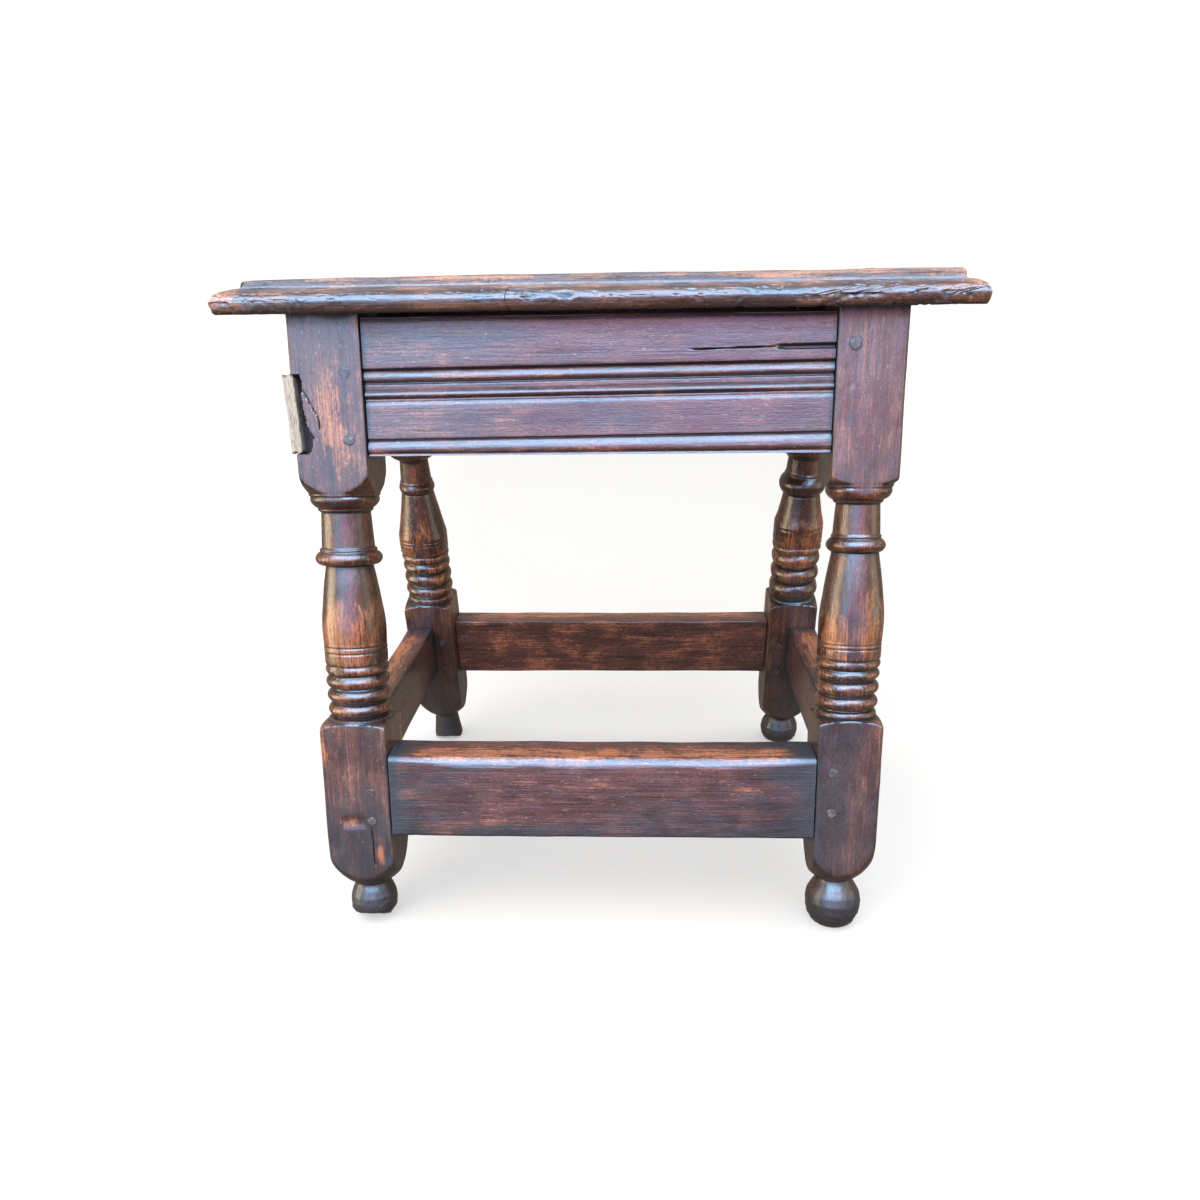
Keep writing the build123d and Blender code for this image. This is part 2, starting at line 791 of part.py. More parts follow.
for name, leg in legs.items():
    axis_frame = leg_axis_frame(leg)
    long_where = "front" if leg["face"] < 0 else "back"
    side_where = "left" if leg["side"] < 0 else "right"
    with BuildPart() as leg_part:
        outline = turned_outline(leg, outer_face(axis_frame))
        revolve(outline, axis=Axis(axis_frame.origin, axis_frame.z_dir))
        with BuildSketch(axis_frame.offset(-under_seat / 2)):
            Rectangle(leg["block"], leg["block"])
        extrude(amount=2 * under_seat, mode=Mode.INTERSECT)
        split(bisect_by=Plane.XY, keep=Keep.TOP)
        split(bisect_by=Plane.XY.offset(under_seat), keep=Keep.BOTTOM)
        cut_long_mortise(leg, *frieze_tenon)
        cut_long_mortise(leg, *stretcher_tenon(long_where))
        side_tenon(leg, *frieze_tenon, mortise_ease, mortise_extra, Mode.SUBTRACT)
        side_tenon(leg, *stretcher_tenon(side_where), mortise_ease, mortise_extra, Mode.SUBTRACT)
        for where in (long_where, side_where):
            for kind in ("frieze", "stretcher"):
                spots = spots_of(kind, where, (name,))
                bore_peg_holes(frames[where], spots, peg_reach(kind, where))
        with BuildSketch(Plane.XY.offset(under_seat)):
            with Locations(*seat_peg_spots()):
                Circle(peg_hole_radius)
        extrude(amount=-(seat_peg_depth + peg_hole_extra), mode=Mode.SUBTRACT)
        if name == find_leg(-1, -1):
            cut_slip_pocket()
        if name == find_leg(1, -1):
            block_between(
                axis_frame,
                (chip_inset, -leg["block"], -leg["block"]),
                (leg["block"], leg["block"], chip_height),
                mode=Mode.SUBTRACT,
            )
    write(leg_part, name)

with BuildPart() as repair_slip:
    block_between(
        slip_frame(),
        (-slip_proud, 0, -slip_height / 2),
        (slip_thick - slip_proud, slip_width(), slip_height / 2),
    )
write(repair_slip, "leg_repair_slip")

# ---------------------------------------------------------------- seat
def board_section(half, plane):
    """The board's section between its moulded edges: X across, Y up from the underside."""
    tier = half - tier_inset
    tier_top = tier - tier_round
    nose_rise = nosing_thick - nose_height
    with BuildSketch(plane) as section:
        with BuildLine():
            Line((nose_under - half, 0), (half - nose_under, 0))
            EllipticalCenterArc(
                (half - nose_under, nose_height), nose_under, nose_height, start_angle=-90, arc_size=90
            )
            EllipticalCenterArc((tier, nose_height), tier_inset, nose_rise, start_angle=0, arc_size=90)
            Line((tier, nosing_thick), (tier, seat_thick - tier_round))
            CenterArc((tier_top, seat_thick - tier_round), tier_round, start_angle=0, arc_size=90)
            Line((tier_top, seat_thick), (-tier_top, seat_thick))
            CenterArc((-tier_top, seat_thick - tier_round), tier_round, start_angle=90, arc_size=90)
            Line((-tier, seat_thick - tier_round), (-tier, nosing_thick))
            EllipticalCenterArc((-tier, nose_height), tier_inset, nose_rise, start_angle=90, arc_size=90)
            EllipticalCenterArc(
                (nose_under - half, nose_height), nose_under, nose_height, start_angle=180, arc_size=90
            )
        make_face()
    return section.sketch


front_plane = Plane(origin=(0, -seat_depth / 2, under_seat), x_dir=(1, 0, 0), z_dir=(0, -1, 0))
left_plane = Plane(origin=(-seat_length / 2, 0, under_seat), x_dir=(0, -1, 0), z_dir=(-1, 0, 0))


def moulded_board():
    """The seat board with its moulding on all four edges, mitred at the corners."""
    extrude(board_section(seat_length / 2, front_plane), amount=-seat_depth)
    extrude(board_section(seat_depth / 2, left_plane), amount=-seat_length, mode=Mode.INTERSECT)


def patch_zone(mode):
    """The stretch of front nosing that the let-in strip fills, ending in a bowed seam."""
    left = -seat_length / 2 - overrun
    with BuildSketch(front_plane.offset(overrun)) as zone:
        with BuildLine():
            Polyline(
                (patch_end_x, -overrun),
                (left, -overrun),
                (left, nosing_thick),
                (patch_end_x, nosing_thick),
            )
            ThreePointArc(
                (patch_end_x, nosing_thick),
                (patch_end_x - patch_end_bow, nosing_thick / 2),
                (patch_end_x, -overrun),
            )
        make_face()
    extrude(zone.sketch, amount=-(tier_inset + overrun), mode=mode)


with BuildPart() as seat_board:
    moulded_board()
    patch_zone(Mode.SUBTRACT)
    with BuildSketch(Plane.XY.offset(under_seat - peg_hole_extra)):
        with Locations(*seat_peg_spots()):
            Circle(peg_hole_radius)
    extrude(amount=seat_thick + 2 * peg_hole_extra, mode=Mode.SUBTRACT)
write(seat_board, "seat_board")

with BuildPart() as edge_patch:
    moulded_board()
    patch_zone(Mode.INTERSECT)
write(edge_patch, "seat_edge_patch")

with BuildPart() as seat_pegs:
    with BuildSketch(Plane.XY.offset(seat_top)):
        with Locations(*seat_peg_spots()):
            Circle(peg_radius)
    extrude(amount=-(seat_thick + seat_peg_depth))
write(seat_pegs, "pegs_seat")
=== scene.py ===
# %% [markdown]
# # A joined oak stool
# This lesson builds the looks of a low joint stool: a moulded oak seat on four splayed legs, each
# left square where the rails meet it and turned in between. The CAD model of the stool is the
# fixed frame, and it is loaded first. Every piece made here stands where a piece of that model
# stands, so the lesson is about surfaces: wear, damage, grain, wax and light.

# %% Load the frame
import math

import bpy
import numpy as np
from mathutils import Matrix, Vector


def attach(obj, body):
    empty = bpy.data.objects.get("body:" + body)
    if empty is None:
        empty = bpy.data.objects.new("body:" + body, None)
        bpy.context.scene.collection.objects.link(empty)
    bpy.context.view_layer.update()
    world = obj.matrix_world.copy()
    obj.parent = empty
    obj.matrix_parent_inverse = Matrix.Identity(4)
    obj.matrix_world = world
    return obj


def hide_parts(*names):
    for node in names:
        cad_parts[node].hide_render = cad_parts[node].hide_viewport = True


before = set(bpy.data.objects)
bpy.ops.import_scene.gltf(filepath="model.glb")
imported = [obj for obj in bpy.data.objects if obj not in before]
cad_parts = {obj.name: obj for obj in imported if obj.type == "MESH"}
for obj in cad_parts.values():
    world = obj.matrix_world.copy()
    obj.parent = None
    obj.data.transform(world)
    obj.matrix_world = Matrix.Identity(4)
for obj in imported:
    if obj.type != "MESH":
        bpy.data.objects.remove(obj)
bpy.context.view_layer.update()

MM = 0.001
print("pieces in the frame:", len(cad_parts))

# %% [markdown]
# ## The rod
# A joiner works to a rod, a stick with every height marked on it. These values are that rod, in
# millimetres. The legs stand upright seen from the front and splay towards the floor seen from
# the end, so a length along a leg is a little more than the height it reaches.

# %% The rod
LEG_SPAN = 400.0  # over the outer faces of the legs, along the stool
FLOOR_SPAN = 360.0  # over the outer faces of the legs, front to back, at the floor
SEAT_SPAN = 218.0  # the same under the seat
UNDER_SEAT = 433.0  # floor to the underside of the board
SPLAY = math.atan((FLOOR_SPAN - SEAT_SPAN) / 2 / UNDER_SEAT)
LEAN = math.sin(SPLAY)
UPRIGHT = math.cos(SPLAY)
LEG_LENGTH = UNDER_SEAT / UPRIGHT
FRIEZE_LOW = 344.5  # levels of the frieze rails' lower and upper edges
FRIEZE_HIGH = 430.0
print("splay in degrees:", round(math.degrees(SPLAY), 2))

# %% [markdown]
# ## Faces to measure from
# On the bench every mark is struck from a face of the leg: so far along, so far in, so far up. A
# `Face` keeps those three directions and turns such a measurement into a place in the room.
# The front and back faces lean with the splay, and the two end faces are upright.

# %% Leg faces
class Face:
    """One side of the stool: x runs along it, y goes into the wood, z runs up it."""

    def __init__(self, origin, along, inward, up):
        self.origin = np.array(origin, float)
        self.along = np.array(along, float)
        self.inward = np.array(inward, float)
        self.up = np.array(up, float)

    def place(self, x, y, z):
        """Where a measurement on this face lies in the room."""
        x, y, z = np.broadcast_arrays(x, y, z)
        moved = x[..., None] * self.along + y[..., None] * self.inward + z[..., None] * self.up
        return self.origin + moved


FACES = {
    "front": Face((0, -FLOOR_SPAN / 2, 0), (1, 0, 0), (0, UPRIGHT, -LEAN), (0, LEAN, UPRIGHT)),
    "back": Face((0, FLOOR_SPAN / 2, 0), (-1, 0, 0), (0, -UPRIGHT, -LEAN), (0, -LEAN, UPRIGHT)),
    "left": Face((-LEG_SPAN / 2, 0, 0), (0, -1, 0), (1, 0, 0), (0, 0, 1)),
    "right": Face((LEG_SPAN / 2, 0, 0), (0, 1, 0), (-1, 0, 0), (0, 0, 1)),
}


def up_the_face(where, level):
    """How far up a face a level above the floor comes."""
    return level / UPRIGHT if where in ("front", "back") else level


# %% [markdown]
# ## Unevenness
# Nothing on old hand-made furniture is quite flat or straight. `waver` gives smooth random
# numbers that drift over a chosen distance. Numpy makes them from a fixed recipe, so the stool
# comes out the same each time. `roughen` adds finer and finer wavers, as wood breaks.

# %% Smooth random numbers
PRIMES = (73856093, 19349663, 83492791)


def waver(places, size, seed):
    """Smooth random numbers from -1 to 1 that change over about this many millimetres."""
    spot = np.asarray(places, float) / np.asarray(size, float) + 31.7 * seed
    cell = np.floor(spot).astype(np.int64)
    part = spot - cell
    part = part * part * part * (part * (part * 6 - 15) + 10)
    total = np.zeros(spot.shape[:-1])
    for corner in np.ndindex(2, 2, 2):
        mixed = seed * 2654435
        weight = 1.0
        for axis in range(3):
            mixed = mixed ^ ((cell[..., axis] + corner[axis]) * PRIMES[axis])
            side = part[..., axis] if corner[axis] else 1 - part[..., axis]
            weight = weight * side
        mixed = ((mixed ^ (mixed >> 13)) * 1274126177) & 0xFFFFFFFF
        mixed = ((mixed ^ (mixed >> 15)) * 668265263) & 0xFFFFFF
        total += weight * mixed
    return total / 0x7FFFFF - 1


def roughen(places, size, seed, layers=3):
    """Wavers of ever finer size, added up."""
    total = 0
    for layer in range(layers):
        finer = 0.5**layer
        total = total + finer * waver(places, np.asarray(size, float) * finer, seed + layer)
    return total


# %% [markdown]
# ## Small helpers
# `ease` is a smooth step, used wherever one thing fades into another. `bell` is a smooth hump,
# used for anything that is strongest in one spot. `soften` wears the corners off a row of
# values, and comparing a moulding with its softened self shows which parts are hollows.

# %% Steps, humps and softening
def ease(value, low, high):
    """Rises smoothly from 0 to 1 as the value goes from low to high."""
    t = np.clip((np.asarray(value, float) - low) / (high - low), 0, 1)
    return t * t * (3 - 2 * t)


def bell(value, middle, width):
    """A hump of height 1 round a middle value."""
    return np.exp(-(((value - middle) / width) ** 2))


def soften(values, width, step):
    """A row of values with its corners worn off over about this width."""
    reach = int(3 * width / step) + 1
    curve = np.exp(-0.5 * (np.arange(-reach, reach + 1) * step / width) ** 2)
    padded = np.pad(values, reach, mode="edge")
    return np.convolve(padded, curve / curve.sum(), mode="valid")


def spaced(*spans):
    """Stations along a piece from (start, end, step) spans that follow one another."""
    runs = [np.arange(start, end - 0.01 * step, step) for start, end, step in spans]
    return np.concatenate([*runs, [spans[-1][1]]])


# %% [markdown]
# ## One way to make every piece
# A leg, a rail, a peg and the seat are all one thing to Blender: a row of closed outlines,
# skinned over and capped at both ends. `skin` does that. `outward` works out which way the skin
# looks at each place, so that wear can push the surface in along its own direction.

# %% Skin over outlines
def outward(grid):
    """Which way the skin looks at each place of a grid of closed outlines."""
    around = np.roll(grid, -1, axis=1) - np.roll(grid, 1, axis=1)
    along = np.gradient(grid, axis=0)
    out = np.cross(around, along)
    out = out / np.maximum(np.linalg.norm(out, axis=-1, keepdims=True), 1e-9)
    if np.sum(out * (grid - grid.mean(axis=1, keepdims=True))) < 0:
        out = -out
    return out


def skin(grid):
    """Points and faces over a grid of closed outlines, with a fan over each end."""
    rows, columns = grid.shape[:2]
    index = np.arange(rows * columns).reshape(rows, columns)
    turned = np.roll(index, -1, axis=1)
    quads = np.stack([index[:-1], turned[:-1], turned[1:], index[1:]], axis=-1).reshape(-1, 4)
    points = grid.reshape(-1, 3)
    a, b, d = points[quads[:, 0]], points[quads[:, 1]], points[quads[:, 3]]
    middle = np.repeat(grid.mean(axis=1), columns, axis=0)[: len(quads)]
    flipped = np.sum(np.cross(b - a, d - a) * (a - middle)) < 0
    first, last = len(points), len(points) + 1
    points = np.concatenate([points, grid[0].mean(0)[None], grid[-1].mean(0)[None]])
    faces = quads.tolist()
    for j in range(columns):
        k = (j + 1) % columns
        faces.append([int(index[0, k]), int(index[0, j]), first])
        faces.append([int(index[-1, j]), int(index[-1, k]), last])
    return points, [face[::-1] for face in faces] if flipped else faces


def with_ends(values):
    """A finish value for each grid place, carried on to the two end caps."""
    flat = values.reshape(-1, *values.shape[2:])
    return np.concatenate([flat, values[0].mean(axis=0)[None], values[-1].mean(axis=0)[None]])


# %% [markdown]
# ## Telling the finish where it is
# The finish needs to know four things at each place, and the mesh carries them as attributes:
# `grain` is the place in the plank, measured along and across its grain; `grime_and_shade` is how
# much wax and dirt has gathered, together with painted shade under the seat, in the step of the
# seat's moulding and on the stretchers' inner sides; `rubbed_and_painted_light` is how far hands and
# feet have worn through the dark skin, together with painted light on the back stretcher and the
# ends of the seat; and `dull` is how little the place is polished. Edges sharper than fifty degrees
# stay crisp.

# %% Make a piece
CRISP_EDGE = math.radians(50)


def make_piece(name, parts, node, finish):
    """A Blender object from (grid, traits) parts, put in place of a node of the frame."""
    points, faces, traits, count = [], [], {}, 0
    for grid, looks in parts:
        some_points, some_faces = skin(grid)
        points.append(some_points)
        faces += [[i + count for i in face] for face in some_faces]
        for trait, values in looks.items():
            traits.setdefault(trait, []).append(with_ends(values))
        count += len(some_points)
    mesh = bpy.data.meshes.new(name)
    mesh.from_pydata((np.concatenate(points) * MM).tolist(), [], faces)
    for trait, values in traits.items():
        values = np.concatenate(values).astype(np.float32)
        kind, field = ("FLOAT_VECTOR", "vector") if values.ndim == 2 else ("FLOAT", "value")
        mesh.attributes.new(trait, kind, "POINT").data.foreach_set(field, values.ravel())
    mesh.shade_smooth()
    mesh.set_sharp_from_angle(angle=CRISP_EDGE)
    mesh.materials.append(finish)
    mesh.update()
    piece = bpy.data.objects.new(name, mesh)
    bpy.context.scene.collection.objects.link(piece)
    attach(piece, "root")
    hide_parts(node)
    print(f"{name}: {len(mesh.vertices)} points")
    return piece


def traits_of(grain, grime_and_shade, rubbed_and_painted_light, dull):
    """The four things the finish reads, grain in metres and the rest from 0 to 1."""
    shape = grain.shape[:-1]
    looks = dict(grime_and_shade=grime_and_shade, rubbed_and_painted_light=rubbed_and_painted_light, dull=dull)
    looks = {key: np.clip(np.broadcast_to(value, shape), 0, 1) for key, value in looks.items()}
    return dict(grain=grain * MM, **looks)


# %% [markdown]
# ## The finish: old oak under wax
# Three centuries of wax, smoke and handling have turned the oak nearly black in the hollows and
# left it red-brown on the faces and orange where it is rubbed. The material stacks these: growth
# figure stretched along the grain and soft mottling, then rubbed places, which also carry painted
# light, fine streaks and crackle, dark pores and small pale nicks, and grime over everything, which
# also carries painted shade. Roughness and bump follow the same layers, so a grimy hollow, and a
# place of painted shade, is rougher as well as darker. The first helpers below each add a node or
# two, and then each step of the recipe has a function of its own.

# %% Node helpers
def put(tree, kind, links=None, **settings):
    """Adds a node, sets its options and joins or fills its inputs."""
    node = tree.nodes.new(kind)
    for key, value in settings.items():
        setattr(node, key, value)
    for key, value in (links or {}).items():
        if isinstance(value, bpy.types.NodeSocket):
            tree.links.new(value, node.inputs[key])
        else:
            node.inputs[key].default_value = value
    return node


def paint_over(tree, amount, under, over):
    """Lays one colour over another by an amount."""
    as_colour = {6: under, 7: over}
    as_colour = {k: (*v, 1.0) if isinstance(v, tuple) else v for k, v in as_colour.items()}
    return put(tree, "ShaderNodeMix", {0: amount, **as_colour}, data_type="RGBA").outputs[2]


def combine(tree, operation, first, second):
    """One step of arithmetic on two values."""
    return put(tree, "ShaderNodeMath", {0: first, 1: second}, operation=operation).outputs[0]


def stretch(tree, value, low, high, to_low=0.0, to_high=1.0):
    """Turns low into to_low and high into to_high, smoothly and no further."""
    links = {"Value": value, 1: low, 2: high, 3: to_low, 4: to_high}
    return put(tree, "ShaderNodeMapRange", links, interpolation_type="SMOOTHSTEP").outputs[0]


def figure_in(tree, place, per_metre, detail=4.0, roughness=0.6, distortion=0.0):
    """Noise in the plank's own directions, that changes this often per metre."""
    scaled = put(tree, "ShaderNodeMapping", {"Vector": place, "Scale": per_metre}).outputs[0]
    links = dict(Vector=scaled, Scale=1.0, Detail=detail, Roughness=roughness, Distortion=distortion)
    return put(tree, "ShaderNodeTexNoise", links).outputs["Fac"]


def read_trait(tree, name):
    """The attribute that the mesh carries under this name."""
    node = put(tree, "ShaderNodeAttribute", attribute_name=name)
    return node.outputs["Vector" if name == "grain" else "Fac"]


def add(tree, total, *others):
    """Values added up."""
    for other in others:
        total = combine(tree, "ADD", total, other)
    return total


def times(tree, first, second):
    """Two values multiplied."""
    return combine(tree, "MULTIPLY", first, second)


def swing(tree, noise, amount):
    """Noise turned into a change of up to this amount either way."""
    return stretch(tree, noise, 0.3, 0.7, -amount, amount)


# %% Layers of noise in the oak
# How often each changes per metre, along the grain and across it both ways, then how many finer
# layers are added to it, their share, and how much it is distorted.
OAK_LAYERS = {
    "figure": ((7, 90, 90), 5.0, 0.62, 0.4),
    "streak": ((22, 780, 780), 4.0, 0.68),
    "pores": ((140, 1500, 1500), 2.0, 0.5),
    "mottle": ((34, 62, 62), 6.0, 0.66),
    "specks": ((300, 520, 520), 3.0, 0.6),
    "smears": ((12, 24, 24), 3.0, 0.5),
    "crackle": ((620, 800, 800), 2.0, 0.6),
    "nicks": ((240, 760, 760), 1.0, 0.5),
}


def oak_layers(tree):
    """All the layers of noise, by name."""
    place = read_trait(tree, "grain")
    return {name: figure_in(tree, place, *recipe) for name, recipe in OAK_LAYERS.items()}


# %% Colour of the oak
# Black wax, laid where grime is and also as painted shade.
BLACK_WAX_AND_SHADE = (0.014, 0.012, 0.012)
PALE_NICK = (0.46, 0.36, 0.29)


def bare_and_body(tree, layer, tones):
    """The oak's own tones, and the bare ones where it is rubbed and where light is painted on."""
    deep, body, warm, bare = tones
    colour = paint_over(tree, stretch(tree, layer["figure"], 0.36, 0.64), deep, body)
    warmth = stretch(tree, layer["mottle"], 0.42, 0.68, 0.0, 0.7)
    colour = paint_over(tree, warmth, colour, warm)
    # Wax lifts in blotches, so a rubbed place has a ragged edge.
    ragged = add(
        tree,
        read_trait(tree, "rubbed_and_painted_light"),
        swing(tree, layer["mottle"], 0.34),
        swing(tree, layer["streak"], 0.16),
        swing(tree, layer["specks"], 0.14),
    )
    return paint_over(tree, stretch(tree, ragged, 0.22, 0.92, 0.0, 0.92), colour, bare)


def shaded(tree, layer, colour, depth_of_shade):
    """A colour made lighter and darker by fine streaks, crackle and specks."""
    shade = add(
        tree,
        stretch(tree, layer["streak"], 0.34, 0.66, 0.30, 1.10),
        stretch(tree, layer["crackle"], 0.34, 0.66, 0.0, 0.45),
        stretch(tree, layer["specks"], 0.34, 0.66, -0.12, 0.22),
    )
    shade = add(tree, times(tree, shade, depth_of_shade), 1 - depth_of_shade)
    links = {0: colour, "Scale": shade}
    return put(tree, "ShaderNodeVectorMath", links, operation="SCALE").outputs[0]


def caked_grime_and_shade(tree, layer):
    """How much grime and painted shade lies at each place; it gathers in patches."""
    caked_and_shaded = add(
        tree,
        read_trait(tree, "grime_and_shade"),
        swing(tree, layer["specks"], 0.18),
        swing(tree, layer["smears"], 0.16),
    )
    return stretch(tree, caked_and_shaded, 0.14, 0.90, 0.0, 0.95)


# %% Roughness and relief of the oak
GRAIN_DEPTH = 0.0004  # the distance of the bump, in metres


def oak_roughness(tree, layer, gloss, caked_and_shaded, in_pore):
    """Dull, dirty, painted-shade and open-pored places are rougher."""
    return add(
        tree,
        stretch(tree, layer["mottle"], 0.3, 0.7, gloss - 0.05, gloss + 0.10),
        times(tree, read_trait(tree, "dull"), 0.38),
        times(tree, caked_and_shaded, 0.12),
        times(tree, in_pore, 0.2),
    )


def oak_relief(tree, layer, relief_depth):
    """The grain stands up a little, each layer by its own share."""
    relief = add(
        tree,
        times(tree, stretch(tree, layer["pores"], 0.28, 0.46), 0.07),
        times(tree, layer["streak"], 1.0),
        times(tree, layer["specks"], 0.65),
        times(tree, layer["crackle"], 0.38),
        times(tree, layer["figure"], 0.6),
    )
    height = {"Height": relief, "Strength": 0.6, "Distance": GRAIN_DEPTH * relief_depth}
    return put(tree, "ShaderNodeBump", height).outputs[0]


# %% The waxed oak
def waxed_oak(name, tones, gloss, relief_depth=1.0, wax=0.30, depth_of_shade=1.0):
    """Old waxed oak from four tones: pores and hollows, body, warm figure and bare places.

    gloss is the roughness of clean wood and wax the weight of the clear film over it.
    """
    finish = bpy.data.materials.new(name)
    finish.use_nodes = True
    tree = finish.node_tree
    tree.nodes.clear()
    layer = oak_layers(tree)

    colour = bare_and_body(tree, layer, tones)
    colour = shaded(tree, layer, colour, depth_of_shade)
    # Pores are dark, and where a knock broke the wax the wood shows pale.
    in_pore = stretch(tree, layer["pores"], 0.33, 0.44, 0.75, 0.0)
    colour = paint_over(tree, in_pore, colour, tuple(0.3 * tone for tone in tones[0]))
    nicked = stretch(tree, layer["nicks"], 0.70, 0.76, 0.0, 0.5)
    colour = paint_over(tree, nicked, colour, PALE_NICK)
    # Grime, and painted shade, darken the colour towards black.
    caked_and_shaded = caked_grime_and_shade(tree, layer)
    colour = paint_over(tree, caked_and_shaded, colour, BLACK_WAX_AND_SHADE)

    # A clear film of wax lies on top, thinner where the wood is dull.
    film = stretch(tree, read_trait(tree, "dull"), 0.3, 1.2, wax, 0.0)
    surface = {
        "Base Color": colour,
        "Roughness": oak_roughness(tree, layer, gloss, caked_and_shaded, in_pore),
        "Normal": oak_relief(tree, layer, relief_depth),
        "IOR": 1.5,
        "Coat Weight": film,
        "Coat Roughness": 0.14,
    }
    shader = put(tree, "ShaderNodeBsdfPrincipled", surface)
    put(tree, "ShaderNodeOutputMaterial", {"Surface": shader.outputs[0]})
    return finish


# %% [markdown]
# ## Five oaks
# One recipe gives five finishes. The seat is brown to orange, the legs red-brown, the rails a
# little cooler and more purple, the pegs dark end grain, and the slip let into one leg is a
# younger, greyer piece that took hardly any wax.

# %% Finishes
# Each as its four tones: deep, body, warm and bare.
seat_oak = waxed_oak(
    "seat_oak",
    [(0.060, 0.023, 0.013), (0.130, 0.053, 0.028), (0.240, 0.097, 0.041), (0.440, 0.168, 0.055)],
    gloss=0.24,
    relief_depth=1.3,
)
leg_oak = waxed_oak(
    "leg_oak",
    [(0.060, 0.022, 0.014), (0.125, 0.046, 0.029), (0.220, 0.080, 0.043), (0.470, 0.175, 0.072)],
    gloss=0.22,
)
rail_oak = waxed_oak(
    "rail_oak",
    [(0.070, 0.024, 0.022), (0.135, 0.048, 0.039), (0.200, 0.068, 0.046), (0.430, 0.152, 0.066)],
    gloss=0.26,
)
peg_oak = waxed_oak(
    "peg_oak",
    [(0.045, 0.024, 0.020), (0.100, 0.050, 0.040), (0.150, 0.070, 0.050), (0.340, 0.170, 0.110)],
    gloss=0.36,
)
slip_oak = waxed_oak(
    "slip_oak",
    [(0.430, 0.370, 0.290), (0.520, 0.450, 0.350), (0.560, 0.400, 0.290), (0.640, 0.540, 0.400)],
    gloss=0.50,
    relief_depth=0.6,
    wax=0.05,
    depth_of_shade=0.35,
)
print("finishes:", sorted(m.name for m in bpy.data.materials if m.name.endswith("_oak")))

# %% [markdown]
# ## The turner's pattern
# The four legs follow one pattern, but each was turned by eye, so the rings sit at different
# heights and the necks differ in thickness. `turned_pattern` walks up a leg as the turner did:
# ball foot, ankle, lower block, reeds, the vase with its two cut lines, ring, neck, rounded band
# and upper block. Lengths are along the leg.

# %% Four legs from one pattern
# block is the side of the square; foot is where the upper block ends and base where the lower
# one does, with a fillet base_rise high over it. Reeds are (height, side radius, swelling) from
# the lowest up, each over a groove, and the two cut lines lie above them, on the drum. drum,
# vase_top and neck are radii going up the leg, and vase_out is how far the vase swells out of a
# straight line. ring is the height of the ring's middle, ring_half is half its thickness, and it
# reaches ring_r from the axis and ring_out from its own sides. band is how far the band under
# the upper block and the fillet over it stand out past the square, and steep how abruptly the
# block's shoulder ends. drift is how far the turner's centre lay from the middle of the blank,
# at the foot and at the head.
LEGS = {
    "leg_front_left": dict(
        face="front", side=-1, block=48.0, seed=11, foot=323.8, neck=17.0,
        ring=279.5, ring_r=23.4, ring_half=4.7, ring_out=3.6, vase_top=16.6, vase_out=2.0,
        cuts=(9.5, 13.8), base=162.4, base_rise=2.4, drum=22.3, band=(-0.1, 0.7), steep=1.0,
        drift=((0.8, 0.0), (0.0, -0.6)),
        reeds=((9.2, 19.6, 3.1), (9.2, 19.6, 3.1), (9.3, 19.8, 3.0), (6.0, 21.4, 1.2)),
    ),
    "leg_front_right": dict(
        face="front", side=1, block=45.0, seed=23, foot=327.6, neck=14.8,
        ring=287.2, ring_r=20.4, ring_half=4.7, ring_out=3.4, vase_top=16.2, vase_out=2.2,
        cuts=(8.5, 11.5), base=165.8, base_rise=5.6, drum=22.3, band=(0.2, 0.9), steep=0.45,
        drift=((-2.2, 0.7), (0.6, -1.5)),
        reeds=((9.1, 19.4, 3.2), (9.6, 19.4, 3.2), (7.5, 19.6, 2.9), (5.4, 21.2, 1.4)),
    ),
    "leg_back_left": dict(
        face="back", side=-1, block=45.0, seed=37, foot=323.8, neck=12.8,
        ring=285.4, ring_r=16.4, ring_half=3.9, ring_out=1.4, vase_top=14.8, vase_out=-0.5,
        cuts=(11.1, 14.2), base=170.5, base_rise=6.9, drum=23.2, band=(-0.1, 0.6), steep=1.0,
        drift=((0.8, 0.0), (0.8, 0.0)),
        reeds=((10.2, 19.4, 3.6), (12.0, 19.2, 3.6), (10.3, 19.2, 3.4), (7.3, 20.6, 2.2)),
    ),
    "leg_back_right": dict(
        face="back", side=1, block=45.0, seed=41, foot=323.8, neck=14.6,
        ring=286.2, ring_r=21.3, ring_half=8.8, ring_out=4.6, vase_top=16.7, vase_out=-0.9,
        cuts=(11.4, 17.1), base=171.5, base_rise=2.8, drum=23.2, band=(-0.1, 0.6), steep=1.0,
        drift=((0.0, 0.0), (0.0, 0.0)),
        reeds=((15.2, 19.6, 4.0), (14.0, 19.2, 3.9), (14.5, 19.0, 3.9), (6.4, 21.2, 1.9)),
    ),
}
# Each foot as (height, radius) from the worn sole to the ankle.
FEET = {
    "leg_front_left": [
        (0, 9.0), (5, 12.5), (9, 15.2), (10.5, 16.8), (13, 17.6),
        (18, 17.8), (23, 17.0), (28, 15.2), (32, 13.2),
    ],
    "leg_front_right": [
        (0, 8.0), (2, 11.5), (5, 16.0), (9, 18.8), (15, 20.4),
        (22, 20.9), (28, 19.6), (34, 16.2), (38, 13.6),
    ],
    "leg_back_left": [
        (0, 8.5), (3, 11.5), (5, 14.2), (7, 14.8), (12, 14.4), (20, 13.2), (28, 12.2), (33, 11.6),
    ],
    "leg_back_right": [
        (0, 9.0), (2, 12.0), (5, 16.2), (9, 18.6), (15, 19.4), (21, 18.4), (27, 15.6), (31, 13.2),
    ],
}
